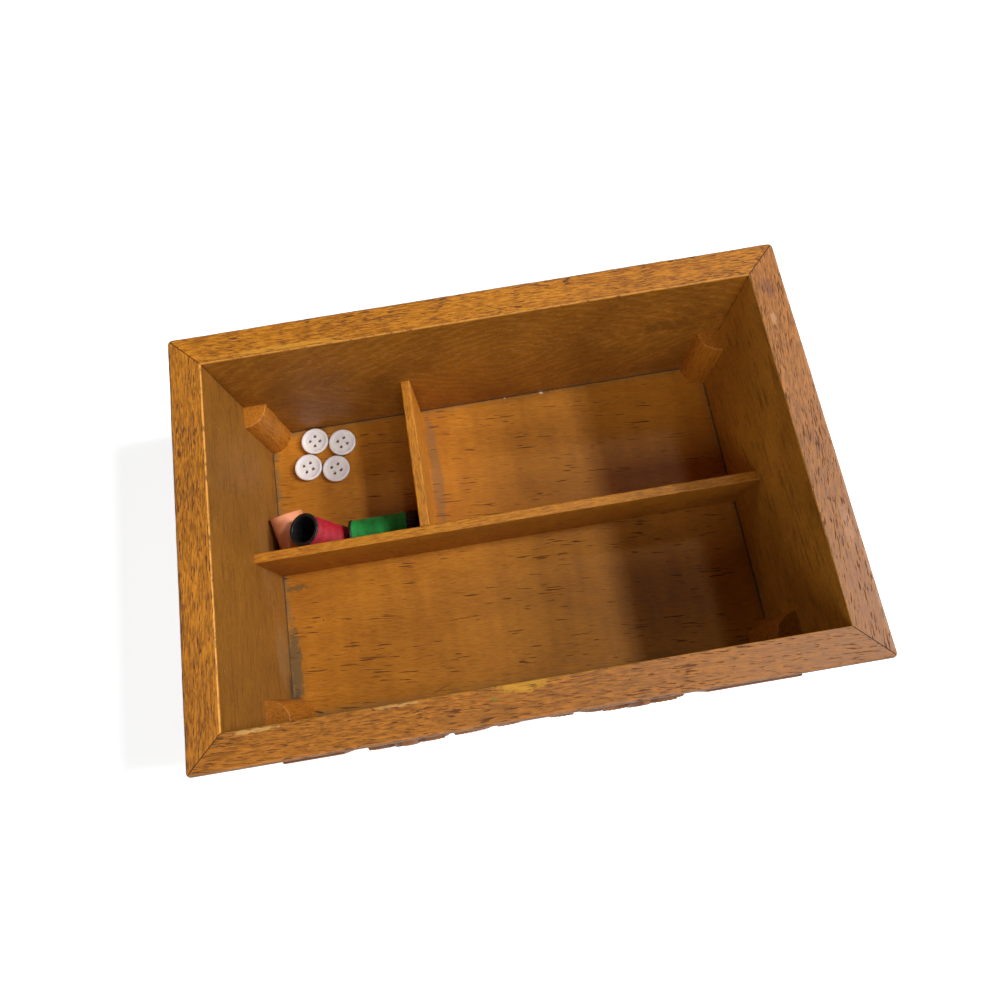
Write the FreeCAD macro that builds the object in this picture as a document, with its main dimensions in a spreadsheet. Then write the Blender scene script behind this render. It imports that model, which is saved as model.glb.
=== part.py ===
import FreeCAD, Part
import math
import os
import re

import Sketcher
from FreeCAD import Placement, Rotation, Vector

# An open wooden sewing box, in millimetres. +Z is up, X runs along the box, the front wall is
# at -Y, and the origin is the centre of the underside. Four mitred walls stand round a rebated
# floor panel. A long divider and a short cross divider make three compartments, and four
# quarter-round corner posts of the dividers' height carry a lift-out tray, which is absent.
# Four buttons and three small thread spools lie in the back left compartment.

DRIVING = {
    "box_length": (208.0, "outside, along X"),
    "box_width": (140.0, "outside, along Y"),
    "box_height": (73.0, "underside to rim"),
    "wall_thickness": (10.9, "the same stock all round"),
    "corner_radius": (1.2, "upright outer corners"),
    "rim_radius": (1.3, "outer arris of the rim"),
    "arris_radius": (0.4, "small worn arrises"),
    "floor_thickness": (4.5, "floor panel, flush with the underside"),
    "rebate_width": (5.0, "ledge over the floor panel's edge"),
    "floor_clearance": (0.3, "round the floor panel in its rebate"),
    "pin_radius": (0.7, "shank of a panel pin"),
    "pin_length": (13.0, "from the underside"),
    "pin_point": (1.6, "length of the pin's tapered point"),
    "pin_tip_radius": (0.2, "blunt end of the point"),
    "pin_head_radius": (1.4, "round head"),
    "pin_head_height": (0.8, "head, let in flush"),
    "pin_clearance": (0.05, "between a pin and its hole"),
    "pin_end_inset": (16.0, "outer pins from the ends of a wall"),
    "pins_per_long_wall": (5, "count"),
    "pins_per_short_wall": (3, "count"),
    "divider_thickness": (3.6, "both dividers"),
    "seat_height": (31.0, "tops of the dividers and posts above the floor, the tray's seat"),
    "back_depth": (57.9, "clear, from the back wall to the long divider"),
    "left_length": (61.0, "clear, from the left wall to the cross divider"),
    "post_radius": (8.5, "quarter-round corner post"),
    "relief_length": (161.0, "carved piece on the front wall"),
    "relief_height": (46.0, "carved piece, along Z"),
    "relief_bottom": (13.0, "carved piece above the underside"),
    "relief_ground": (0.6, "thickness of the sunk ground"),
    "relief_block": (1.3, "thickness of the two plain end blocks"),
    "left_block_length": (19.0, "plain block at the left end"),
    "right_block_length": (30.0, "plain block at the right end"),
    "left_flower_inset": (16.5, "left flower's middle from the left block"),
    "right_flower_inset": (19.0, "right flower's middle from the right block"),
    "left_petal_length": (15.0, "middle to tip"),
    "right_petal_length": (17.6, "middle to tip"),
    "petal_width": (8.2, "petals of both flowers"),
    "petal_rise": (2.6, "petals above the wall's face"),
    "left_petals": (6, "count"),
    "right_petals": (8, "count"),
    "boss_radius": (4.8, "round middle of a flower"),
    "boss_rise": (3.2, "round middle above the wall's face"),
    "boss_edge_radius": (2.3, "rounding of the round middle"),
    "leaf_rise": (2.0, "leaves above the wall's face"),
    "stem_radius": (1.6, "half-round stem between the flowers"),
    "button_radius": (5.7, "four-hole shirt button"),
    "button_thickness": (2.2, "over the rim"),
    "button_rim_width": (1.7, "raised rim"),
    "button_dish_depth": (0.6, "middle below the rim"),
    "button_edge_radius": (0.7, "rounded outer edge"),
    "button_hole_radius": (0.8, "each of the four holes"),
    "button_hole_spacing": (2.95, "between neighbouring holes"),
    "button_gap": (0.4, "between neighbouring buttons"),
    "buttons_left": (12.9, "first button's edge from the left wall"),
    "buttons_back": (0.7, "first button's edge from the back wall"),
    "bore_radius": (5.1, "hollow of a plastic spool"),
    "tube_wall": (0.6, "wall of every spool's tube"),
    "flange_width": (0.65, "end flange beyond the tube"),
    "flange_thickness": (0.9, "end flange, along the spool"),
    "thread_depth": (0.5, "wound thread between flanges"),
    "shoulder_radius": (0.3, "rounded shoulders of the winding"),
    "cap_length": (4.0, "ribbed cap of the green spool"),
    "cap_rib_count": (24, "count"),
    "cap_groove_depth": (0.45, "between the cap's ribs"),
    "cap_groove_width": (0.8, "between the cap's ribs"),
    "green_length": (27.0, "green spool, end to end"),
    "green_gap": (3.1, "green spool's cap from the cross divider"),
    "red_length": (23.0, "red spool, end to end"),
    "peach_length": (17.2, "peach spool, end to end"),
    "peach_bore_radius": (4.7, "hollow of the peach spool's paper tube"),
    "peach_thread_depth": (1.1, "winding of the peach spool, flush with its tube's ends"),
    "rest_gap": (0.3, "between loose things and what they touch"),
}

# Directions in degrees, measured from +X towards +Y and up from the floor
RED_BEARING = 170.5
PEACH_BEARING = 100.4
PEACH_RISE = 15.7

# The buttons lie edge to edge in two rows of two: each one's place in its row, its row, and its turn
BUTTONS = {
    "button_1": (0, 0, 40.0),
    "button_2": (1, 0, 24.0),
    "button_3": (0, 1, 19.0),
    "button_4": (1, 1, 21.0),
}
BUTTON_ROW_BEARING = -12.1
BUTTON_COLUMN_BEARING = -108.5

# Pairs of leaves on the stem: root from the left block, bearing of the upper one, length
LEAF_PAIRS = (
    (34.5, 52.0, 12.6),
    (45.0, 128.0, 20.0),
    (56.0, 140.0, 13.0),
    (62.5, 50.0, 14.7),
    (73.5, 58.0, 15.5),
)
LEAF_SLIMNESS = 0.36
EASED_SHARE = 0.45

# How steeply the red spool can lean, in degrees, and how closely its lean is found
RED_LEANS = (20.0, 89.0)
LEAN_STEP = 0.01

NEARNESS = 1e-4

doc = FreeCAD.newDocument("sewing_box")
sheet = doc.addObject("Spreadsheet::Sheet", "Sizes")
for row, (alias, (number, meaning)) in enumerate(DRIVING.items(), start=1):
    sheet.set(f"A{row}", alias)
    sheet.set(f"B{row}", str(number))
    sheet.set(f"C{row}", meaning)
    sheet.setAlias(f"B{row}", alias)
doc.recompute()


def size(alias):
    """A driving dimension, read back from the sheet."""
    return float(sheet.get(alias))


def formula(text):
    """Turn the names of driving dimensions into references to the sheet's cells."""
    for alias in DRIVING:
        text = re.sub(rf"\b{alias}\b", f"Sizes.{alias}", text)
    return text


def bind(item, path, text):
    """Tie one property to a formula of driving dimensions."""
    item.setExpression(path, formula(text))


# Heights and faces that several pieces share, as formulas
HALF_INNER_LENGTH = "(box_length / 2 - wall_thickness)"
HALF_INNER_WIDTH = "(box_width / 2 - wall_thickness)"
DIVIDER_BACK = "(box_width / 2 - wall_thickness - back_depth)"
CROSS_LEFT = "(left_length + wall_thickness - box_length / 2)"
TUBE_RADIUS = "(bore_radius + tube_wall)"
THREAD_RADIUS = "(bore_radius + tube_wall + thread_depth)"
FLANGE_RADIUS = "(bore_radius + tube_wall + flange_width)"
PAPER_RADIUS = "(peach_bore_radius + tube_wall)"
PEACH_RADIUS = "(peach_bore_radius + tube_wall + peach_thread_depth)"


def value(text):
    """Work out a formula of driving dimensions as a number."""
    names = {alias: size(alias) for alias in DRIVING}
    total = re.sub(r"[a-z]\w*", lambda found: repr(names[found[0]]), text)
    return float(FreeCAD.Units.Quantity(total).Value)


def new_body(label):
    body = doc.addObject("PartDesign::Body", label)
    body.Label = label
    return body


def new_sketch(body, name, role):
    """A sketch on one of the body's own origin planes, found by its role."""
    plane = next(item for item in body.Origin.OriginFeatures if item.Role == role)
    sketch = body.newObject("Sketcher::SketchObject", f"{body.Name}_{name}")
    sketch.AttachmentSupport = (plane, [""])
    sketch.MapMode = "FlatFace"
    return sketch


def place_point(sketch, geometry, point, across, up):
    """Hold a sketch point at two formulas from the sketch's origin."""
    for kind, text in (("DistanceX", across), ("DistanceY", up)):
        index = sketch.addConstraint(Sketcher.Constraint(kind, -1, 1, geometry, point, value(text)))
        bind(sketch, f"Constraints[{index}]", text)


def outline(sketch, corners):
    """A closed outline of straight lines whose corners are pairs of formulas."""
    spots = [Vector(value(across), value(up), 0) for across, up in corners]
    lines = []
    for start, end in zip(spots, spots[1:] + spots[:1]):
        lines.append(sketch.addGeometry(Part.LineSegment(start, end), False))
    for line, after in zip(lines, lines[1:] + lines[:1]):
        sketch.addConstraint(Sketcher.Constraint("Coincident", line, 2, after, 1))
    for line, (across, up) in zip(lines, corners):
        place_point(sketch, line, 1, across, up)


def rectangle(sketch, left, bottom, right, top):
    outline(sketch, [(left, bottom), (right, bottom), (right, top), (left, top)])


def circle(sketch, across, up, radius):
    """A circle whose middle and radius are formulas."""
    middle = Vector(value(across), value(up), 0)
    ring = sketch.addGeometry(Part.Circle(middle, Vector(0, 0, 1), value(radius)), False)
    place_point(sketch, ring, 3, across, up)
    index = sketch.addConstraint(Sketcher.Constraint("Radius", ring, value(radius)))
    bind(sketch, f"Constraints[{index}]", radius)


def pad(body, sketch, height):
    feature = body.newObject("PartDesign::Pad", f"{sketch.Name}_pad")
    feature.Profile = sketch
    bind(feature, "Length", height)
    sketch.Visibility = False
    doc.recompute()
    return feature


def pocket(body, sketch, depth=None, midplane=False, reverse=False):
    """Cut a sketch to a depth, or all the way through, and make sure that it cuts."""
    before = body.Shape.Volume
    feature = body.newObject("PartDesign::Pocket", f"{sketch.Name}_pocket")
    feature.Profile = sketch
    feature.Reversed = reverse
    if depth is None:
        feature.Type = "ThroughAll"
    else:
        bind(feature, "Length", depth)
    if midplane:
        feature.SideType = "Symmetric"
    doc.recompute()
    if not body.Shape.Volume < before:
        raise RuntimeError(f"{feature.Name} cuts nothing")
    return feature


def revolve(body, sketch):
    """Turn a profile all the way round the sketch's upright axis."""
    feature = body.newObject("PartDesign::Revolution", f"{sketch.Name}_turned")
    feature.Profile = sketch
    feature.ReferenceAxis = (sketch, ["V_Axis"])
    feature.Angle = 360.0
    sketch.Visibility = False
    doc.recompute()
    return feature


def round_edges(body, name, wanted, radius):
    """Fillet the edges of the body's tip that the test picks out."""
    tip = body.Tip
    picked = [f"Edge{number}" for number, edge in enumerate(tip.Shape.Edges, start=1) if wanted(edge)]
    if not picked:
        raise RuntimeError(f"{body.Label} has no edge for {name}")
    feature = body.newObject("PartDesign::Fillet", f"{body.Name}_{name}")
    feature.Base = (tip, picked)
    bind(feature, "Radius", radius)
    doc.recompute()
    return feature


def near(first, second):
    return abs(first - second) < NEARNESS


def level(edge, height):
    """True where the whole edge lies at one height."""
    return near(edge.BoundBox.ZMin, height) and near(edge.BoundBox.ZMax, height)


def move(item, across="0", along="0", up="0", turn=0.0):
    """Place an object by three formulas, turned about its own upright axis by degrees."""
    spot = Vector(value(across), value(along), value(up))
    item.Placement = Placement(spot, Rotation(Vector(0, 0, 1), turn))
    for axis, text in (("x", across), ("y", along), ("z", up)):
        bind(item, f"Placement.Base.{axis}", text)
    return item


def trimming_block():
    """The box's outer envelope, whose arrises run unbroken through the mitres."""
    body = new_body("outer_envelope")
    plan = new_sketch(body, "plan", "XY_Plane")
    rectangle(plan, "-box_length / 2", "-box_width / 2", "box_length / 2", "box_width / 2")
    pad(body, plan, "box_height")
    height = size("box_height")
    round_edges(body, "corners", lambda edge: near(edge.BoundBox.ZLength, height), "corner_radius")
    round_edges(body, "rim", lambda edge: level(edge, height), "rim_radius")
    round_edges(body, "base", lambda edge: level(edge, 0.0), "arris_radius")
    return body


def pin_spots(run, count):
    """Formulas for evenly spaced pins along a wall of the given outside length."""
    return [f"({step} / {count - 1} - 0.5) * ({run} - 2 * pin_end_inset)" for step in range(count)]


def pin_line(depth):
    """Formula for the line of pins, midway over the rebate's ledge."""
    return f"(-{depth} / 2 + wall_thickness - rebate_width / 2)"


def wall(label, envelope, run, depth, count, turn):
    """One mitred wall, drawn as the front wall of a box that is run long and depth deep."""
    body = new_body(f"{label}_board")
    inner = f"(-{depth} / 2 + wall_thickness)"
    plan = new_sketch(body, "plan", "XY_Plane")
    inner_half = f"({run} / 2 - wall_thickness)"
    outline(plan, [
        (f"-{run} / 2", f"-{depth} / 2"),
        (f"{run} / 2", f"-{depth} / 2"),
        (inner_half, inner),
        (f"-{inner_half}", inner),
    ])
    pad(body, plan, "box_height")
    rebate = new_sketch(body, "rebate", "YZ_Plane")
    rectangle(rebate, f"{inner} - rebate_width", "0", f"{inner} + rebate_width", "floor_thickness")
    pocket(body, rebate, midplane=True)
    holes = new_sketch(body, "pin_holes", "XY_Plane")
    for spot in pin_spots(run, count):
        circle(holes, spot, pin_line(depth), "pin_radius + pin_clearance")
    pocket(body, holes, depth="pin_length + pin_clearance", reverse=True)
    inner_edge = value(inner)
    round_edges(body, "inner_rim", lambda edge: level(edge, size("box_height"))
                and near(edge.BoundBox.YMin, inner_edge)
                and near(edge.BoundBox.YMax, inner_edge), "arris_radius")
    body.Placement = Placement(Vector(0, 0, 0), Rotation(Vector(0, 0, 1), turn))
    trimmed = doc.addObject("Part::Common", label)
    trimmed.Label = label
    trimmed.Base = envelope
    trimmed.Tool = body
    return trimmed


def floor_panel():
    """The floor panel, let into the rebate and bored for its pins."""
    body = new_body("floor_panel")
    reach_x = f"({HALF_INNER_LENGTH} + rebate_width - floor_clearance)"
    reach_y = f"({HALF_INNER_WIDTH} + rebate_width - floor_clearance)"
    plan = new_sketch(body, "plan", "XY_Plane")
    rectangle(plan, f"-{reach_x}", f"-{reach_y}", reach_x, reach_y)
    pad(body, plan, "floor_thickness")
    shanks = new_sketch(body, "shank_holes", "XY_Plane")
    heads = new_sketch(body, "head_holes", "XY_Plane")
    for across, along in floor_pin_places():
        circle(shanks, across, along, "pin_radius + pin_clearance")
        circle(heads, across, along, "pin_head_radius + pin_clearance")
    pocket(body, shanks, reverse=True)
    pocket(body, heads, depth="pin_head_height", reverse=True)
    return body


def floor_pin_places():
    """Formula pairs for every pin, one line along each wall."""
    places = []
    for spot in pin_spots("box_length", int(size("pins_per_long_wall"))):
        places.append((spot, pin_line("box_width")))
        places.append((spot, f"-{pin_line('box_width')}"))
    for spot in pin_spots("box_width", int(size("pins_per_short_wall"))):
        places.append((pin_line("box_length"), spot))
        places.append((f"-{pin_line('box_length')}", spot))
    return places


def floor_pins():
    """All the panel pins as one group of separate solids, heads flush with the underside."""
    up = Vector(0, 0, 1)
    radius, length, point = size("pin_radius"), size("pin_length"), size("pin_point")
    pins = []
    for across, along in floor_pin_places():
        foot = Vector(value(across), value(along), 0)
        head = Part.makeCylinder(size("pin_head_radius"), size("pin_head_height"), foot, up)
        shank = Part.makeCylinder(radius, length - point, foot, up)
        tip = Part.makeCone(radius, size("pin_tip_radius"), point, foot + Vector(0, 0, length - point), up)
        pins.append(head.fuse([shank, tip]).removeSplitter())
    group = doc.addObject("Part::Feature", "floor_pins")
    group.Label = "floor_pins"
    group.Shape = Part.makeCompound(pins)
    return group


def divider(label, left, front, right, back):
    """A thin upright board on the floor, with its upper long edges eased."""
    body = new_body(label)
    plan = new_sketch(body, "plan", "XY_Plane")
    rectangle(plan, left, front, right, back)
    pad(body, plan, "seat_height")
    box = body.Shape.BoundBox
    longest = max(box.XLength, box.YLength)
    round_edges(body, "top", lambda edge: level(edge, size("seat_height")) and near(edge.Length, longest),
                "arris_radius")
    return move(body, up="floor_thickness")


def corner_post(label, side_x, side_y, turn):
    """A quarter-round post whose two flat sides lie against the walls."""
    body = new_body(label)
    plan = new_sketch(body, "plan", "XY_Plane")
    radius = size("post_radius")
    corner = Vector(0, 0, 0)
    first = plan.addGeometry(Part.LineSegment(corner, Vector(radius, 0, 0)), False)
    whole = Part.Circle(corner, Vector(0, 0, 1), radius)
    round_side = plan.addGeometry(Part.ArcOfCircle(whole, 0.0, math.pi / 2), False)
    second = plan.addGeometry(Part.LineSegment(Vector(0, radius, 0), corner), False)
    for joined in ((first, 2, round_side, 1), (round_side, 2, second, 1), (second, 2, first, 1)):
        plan.addConstraint(Sketcher.Constraint("Coincident", *joined))
    plan.addConstraint(Sketcher.Constraint("Coincident", first, 1, -1, 1))
    plan.addConstraint(Sketcher.Constraint("Coincident", round_side, 3, -1, 1))
    plan.addConstraint(Sketcher.Constraint("Horizontal", first))
    plan.addConstraint(Sketcher.Constraint("Vertical", second))
    index = plan.addConstraint(Sketcher.Constraint("Radius", round_side, radius))
    bind(plan, f"Constraints[{index}]", "post_radius")
    pad(body, plan, "seat_height")
    round_edges(body, "top", lambda edge: level(edge, size("seat_height"))
                and edge.Curve.TypeId == "Part::GeomCircle", "arris_radius")
    across = HALF_INNER_LENGTH if side_x > 0 else f"-{HALF_INNER_LENGTH}"
    along = HALF_INNER_WIDTH if side_y > 0 else f"-{HALF_INNER_WIDTH}"
    return move(body, across, along, "floor_thickness", turn)


def leaf(root, bearing, length, width, rise):
    """A pointed leaf raised from the wall's face: two arcs from root to tip, with an eased edge."""
    lean = Rotation(Vector(0, -1, 0), bearing)
    steps = (Vector(length, 0, 0), Vector(length / 2, 0, width / 2), Vector(length / 2, 0, -width / 2))
    tip, left, right = (root + lean.multVec(step) for step in steps)
    edge = Part.Wire([Part.Arc(root, left, tip).toShape(), Part.Arc(tip, right, root).toShape()])
    blank = Part.Face(edge).extrude(Vector(0, -rise, 0))
    crest = [item for item in blank.Edges if near(item.BoundBox.YMax, -rise)]
    return blank.makeChamfer(EASED_SHARE * rise, crest)


def flower(middle, petals, petal_length):
    """Petals round a domed middle."""
    width, rise = size("petal_width"), size("petal_rise")
    top = size("boss_rise")
    bearings = [90.0 + 360.0 * step / petals for step in range(petals)]
    solids = [leaf(middle, bearing, petal_length, width, rise) for bearing in bearings]
    boss = Part.makeCylinder(size("boss_radius"), top, middle, Vector(0, -1, 0))
    rim = [item for item in boss.Edges if near(item.BoundBox.YMin, -top) and near(item.BoundBox.YLength, 0)]
    return solids + [boss.makeFillet(size("boss_edge_radius"), rim)]


def front_relief():
    """The carved piece on the front wall: two plain blocks with leaves and flowers between."""
    length, height, bottom = size("relief_length"), size("relief_height"), size("relief_bottom")
    ground, block, rise = size("relief_ground"), size("relief_block"), size("leaf_rise")
    left, right = -length / 2, length / 2
    field_left = left + size("left_block_length")
    field_right = right - size("right_block_length")
    middle = bottom + height / 2
    solids = [
        Part.makeBox(field_left - left, block, height, Vector(left, -block, bottom)),
        Part.makeBox(right - field_right, block, height, Vector(field_right, -block, bottom)),
        Part.makeBox(length, ground, height, Vector(left, -ground, bottom)),
    ]
    left_flower = Vector(field_left + size("left_flower_inset"), 0, middle)
    right_flower = Vector(field_right - size("right_flower_inset"), 0, middle)
    solids += flower(left_flower, int(size("left_petals")), size("left_petal_length"))
    solids += flower(right_flower, int(size("right_petals")), size("right_petal_length"))
    for place, turn, leaf_length in LEAF_PAIRS:
        root = Vector(field_left + place, 0, middle)
        for side in (turn, -turn):
            solids.append(leaf(root, side, leaf_length, LEAF_SLIMNESS * leaf_length, rise))
    radius = size("stem_radius")
    stem = Part.makeCylinder(radius, right_flower.x - left_flower.x, left_flower, Vector(1, 0, 0))
    solids.append(stem.common(Part.makeBox(length, radius, height, Vector(left, -radius, bottom))))
    relief = doc.addObject("Part::Feature", "front_relief")
    relief.Label = "front_relief"
    relief.Shape = solids[0].fuse(solids[1:]).removeSplitter()
    relief.Placement = Placement(Vector(0, -size("box_width") / 2, 0), Rotation())
    return relief


def button(label, place, row, turn):
    """A dished shirt button with four holes, lying on the floor."""
    body = new_body(label)
    profile = new_sketch(body, "profile", "XZ_Plane")
    dish = "(button_radius - button_rim_width)"
    outline(profile, [
        ("0", "0"),
        ("button_radius", "0"),
        ("button_radius", "button_thickness"),
        (dish, "button_thickness"),
        (f"{dish} - button_dish_depth", "button_thickness - button_dish_depth"),
        ("0", "button_thickness - button_dish_depth"),
    ])
    revolve(body, profile)
    round_edges(body, "rim", lambda edge: near(edge.BoundBox.ZLength, 0)
                and near(edge.BoundBox.XMax, size("button_radius")), "button_edge_radius")
    holes = new_sketch(body, "holes", "XY_Plane")
    for across in ("-", ""):
        for along in ("-", ""):
            circle(holes, f"{across}button_hole_spacing / 2", f"{along}button_hole_spacing / 2",
                   "button_hole_radius")
    pocket(body, holes, reverse=True)
    steps = place * direction(BUTTON_ROW_BEARING, 0.0) + row * direction(BUTTON_COLUMN_BEARING, 0.0)
    across = f"{steps.x:.4f} * (2 * button_radius + button_gap)"
    along = f"{steps.y:.4f} * (2 * button_radius + button_gap)"
    return move(body, f"-{HALF_INNER_LENGTH} + buttons_left + button_radius + {across}",
                f"{HALF_INNER_WIDTH} - buttons_back - button_radius + {along}", "floor_thickness", turn)


def spool_tube(label, length, ribbed):
    """A hollow spool with a flange at each end, standing on its own +Z axis."""
    body = new_body(label)
    profile = new_sketch(body, "profile", "XZ_Plane")
    top = "cap_length" if ribbed else "flange_thickness"
    outline(profile, [
        ("bore_radius", "0"),
        (FLANGE_RADIUS, "0"),
        (FLANGE_RADIUS, "flange_thickness"),
        (TUBE_RADIUS, "flange_thickness"),
        (TUBE_RADIUS, f"{length} - {top}"),
        (FLANGE_RADIUS, f"{length} - {top}"),
        (FLANGE_RADIUS, length),
        ("bore_radius", length),
    ])
    revolve(body, profile)
    if ribbed:
        groove = new_sketch(body, "groove", "XY_Plane")
        rectangle(groove, f"{FLANGE_RADIUS} - cap_groove_depth", "-cap_groove_width / 2",
                  f"{FLANGE_RADIUS} + flange_width", "cap_groove_width / 2")
        bind(groove, "AttachmentOffset.Base.z", f"{length} - {top} + flange_thickness / 2")
        doc.recompute()
        cut = pocket(body, groove, reverse=True)
        pattern = body.newObject("PartDesign::PolarPattern", f"{body.Name}_ribs")
        pattern.Originals = [cut]
        pattern.Axis = (profile, ["V_Axis"])
        pattern.Angle = 360.0
        bind(pattern, "Occurrences", "cap_rib_count")
        body.Tip = pattern
        doc.recompute()
    return body


def sleeve(label, length, foot, head, inner, outer):
    """A wound thread or paper tube: a round-shouldered sleeve, short of the ends by foot and head."""
    body = new_body(label)
    profile = new_sketch(body, "profile", "XZ_Plane")
    rectangle(profile, inner, foot, outer, f"{length} - {head}")
    revolve(body, profile)
    round_edges(body, "shoulders", lambda edge: near(edge.BoundBox.ZLength, 0)
                and near(edge.BoundBox.XMax, value(outer)), "shoulder_radius")
    return body


def direction(bearing, rise):
    """The unit vector of a compass bearing from +X and a rise from the floor, in degrees."""
    flat = math.cos(math.radians(rise))
    return Vector(flat * math.cos(math.radians(bearing)), flat * math.sin(math.radians(bearing)),
                  math.sin(math.radians(rise)))


def reach_of_disc(axis, radius):
    """How far a disc square to the axis reaches along X, Y and Z."""
    return Vector(*(radius * math.sqrt(max(0.0, 1.0 - part * part)) for part in axis))


def lay_spool(pieces, foot, axis):
    """Put a spool's pieces with their foot at a point and their own axis along another."""
    for piece in pieces:
        piece.Placement = Placement(foot, Rotation(Vector(0, 0, 1), axis))


def peach_pose():
    """Foot and axis of the peach spool: its foot on the floor by the divider, its head at the wall."""
    gap, radius, length = size("rest_gap"), value(PEACH_RADIUS), size("peach_length")
    axis = direction(PEACH_BEARING, PEACH_RISE)
    reach = reach_of_disc(axis, radius)
    foot = Vector(-value(HALF_INNER_LENGTH) + gap + reach.x - length * axis.x,
                  value(DIVIDER_BACK) + gap + reach.y,
                  size("floor_thickness") + gap + reach.z)
    return foot, axis


def green_foot():
    """Foot of the green spool, which lies along the long divider with its cap to the right."""
    gap, radius = size("rest_gap"), value(FLANGE_RADIUS)
    return Vector(value(CROSS_LEFT) - size("green_gap") - size("green_length"),
                  value(DIVIDER_BACK) + gap + radius, size("floor_thickness") + gap + radius)


def red_pose():
    """Foot and axis of the red spool, leant over by halving steps until it rests on the peach one."""
    gap, radius, length = size("rest_gap"), value(FLANGE_RADIUS), size("red_length")
    peach_foot, peach_axis = peach_pose()
    peach = Part.makeCylinder(value(PEACH_RADIUS), size("peach_length"), peach_foot, peach_axis)

    def pose(rise):
        axis = direction(RED_BEARING, rise)
        reach = reach_of_disc(axis, radius)
        return Vector(green_foot().x - gap - reach.x, value(DIVIDER_BACK) + gap + reach.y,
                      size("floor_thickness") + gap + reach.z), axis

    low, high = RED_LEANS
    while high - low > LEAN_STEP:
        middle = (low + high) / 2
        foot, axis = pose(middle)
        clear = Part.makeCylinder(radius, length, foot, axis).distToShape(peach)[0]
        low, high = (low, middle) if clear > gap else (middle, high)
    print(f"the red spool leans at {high:.2f} degrees")
    return pose(high)


envelope = trimming_block()
nodes = [
    wall("front_wall", envelope, "box_length", "box_width", int(size("pins_per_long_wall")), 0),
    wall("right_wall", envelope, "box_width", "box_length", int(size("pins_per_short_wall")), 90),
    wall("back_wall", envelope, "box_length", "box_width", int(size("pins_per_long_wall")), 180),
    wall("left_wall", envelope, "box_width", "box_length", int(size("pins_per_short_wall")), 270),
    floor_panel(),
    floor_pins(),
    divider("long_divider", f"-{HALF_INNER_LENGTH}", f"{DIVIDER_BACK} - divider_thickness",
            HALF_INNER_LENGTH, DIVIDER_BACK),
    divider("cross_divider", CROSS_LEFT, DIVIDER_BACK,
            f"{CROSS_LEFT} + divider_thickness", HALF_INNER_WIDTH),
    corner_post("post_front_left", -1, -1, 0),
    corner_post("post_front_right", 1, -1, 90),
    corner_post("post_back_right", 1, 1, 180),
    corner_post("post_back_left", -1, 1, 270),
    front_relief(),
]
nodes += [button(label, *place) for label, place in BUTTONS.items()]

green = [
    spool_tube("green_spool_tube", "green_length", True),
    sleeve("green_thread", "green_length", "flange_thickness", "cap_length", TUBE_RADIUS, THREAD_RADIUS),
]
lay_spool(green, green_foot(), Vector(1, 0, 0))
red = [
    spool_tube("red_spool_tube", "red_length", False),
    sleeve("red_thread", "red_length", "flange_thickness", "flange_thickness", TUBE_RADIUS, THREAD_RADIUS),
]
lay_spool(red, *red_pose())
peach = [
    sleeve("peach_spool_tube", "peach_length", "0", "0", "peach_bore_radius", PAPER_RADIUS),
    sleeve("peach_thread", "peach_length", "0", "0", PAPER_RADIUS, PEACH_RADIUS),
]
lay_spool(peach, *peach_pose())
nodes += green + red + peach

doc.recompute()
for item in doc.Objects:
    if {"Invalid", "Error"} & set(item.State):
        raise RuntimeError(f"{item.Label} is {item.State}")
for node in nodes:
    if node.Shape.isNull() or not node.Shape.isValid():
        raise RuntimeError(f"{node.Label} has no valid shape")

os.makedirs("parts", exist_ok=True)
for node in nodes:
    node.Shape.exportStep(f"parts/{node.Label}.step")
    print(f"{node.Label}: {len(node.Shape.Solids)} solids, {node.Shape.Volume:.1f} cubic mm")
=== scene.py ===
"""Looks of an open wooden sewing box: mitred walls, dividers, tray posts, a carved front, buttons and thread."""
import logging
import math
from dataclasses import dataclass, replace
from enum import Enum
from typing import Callable

import bpy
import numpy as np
from mathutils import Matrix, Vector, noise


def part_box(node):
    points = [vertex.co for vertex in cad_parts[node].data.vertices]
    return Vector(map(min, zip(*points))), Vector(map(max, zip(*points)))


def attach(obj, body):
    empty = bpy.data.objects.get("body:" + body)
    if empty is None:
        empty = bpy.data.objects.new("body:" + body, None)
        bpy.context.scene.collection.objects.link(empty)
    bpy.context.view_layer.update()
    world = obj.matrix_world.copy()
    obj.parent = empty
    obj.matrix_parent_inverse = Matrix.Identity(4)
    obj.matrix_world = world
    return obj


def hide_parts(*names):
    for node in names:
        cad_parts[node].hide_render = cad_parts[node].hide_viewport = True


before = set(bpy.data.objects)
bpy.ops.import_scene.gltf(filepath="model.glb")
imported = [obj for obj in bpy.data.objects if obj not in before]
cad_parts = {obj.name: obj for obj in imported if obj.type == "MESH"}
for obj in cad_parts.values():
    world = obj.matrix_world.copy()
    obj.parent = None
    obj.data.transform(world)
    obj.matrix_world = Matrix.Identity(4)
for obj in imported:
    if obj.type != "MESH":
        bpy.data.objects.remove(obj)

LOG = logging.getLogger("sewing_box")
MM = 0.001
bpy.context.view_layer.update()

Colour = tuple[float, float, float, float]
Socket = bpy.types.NodeSocket


def shade(red: int, green: int, blue: int) -> Colour:
    """Turn a screen colour of 0 to 255 a channel into the linear colour that shaders use."""
    linear = [((c / 255 + 0.055) / 1.055) ** 2.4 if c > 10 else c / 255 / 12.92 for c in (red, green, blue)]
    return (linear[0], linear[1], linear[2], 1.0)


def node_box(node: str) -> tuple[np.ndarray, np.ndarray]:
    """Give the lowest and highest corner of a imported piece, in millimetres."""
    low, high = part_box(node)
    return np.array(low) / MM, np.array(high) / MM


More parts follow.
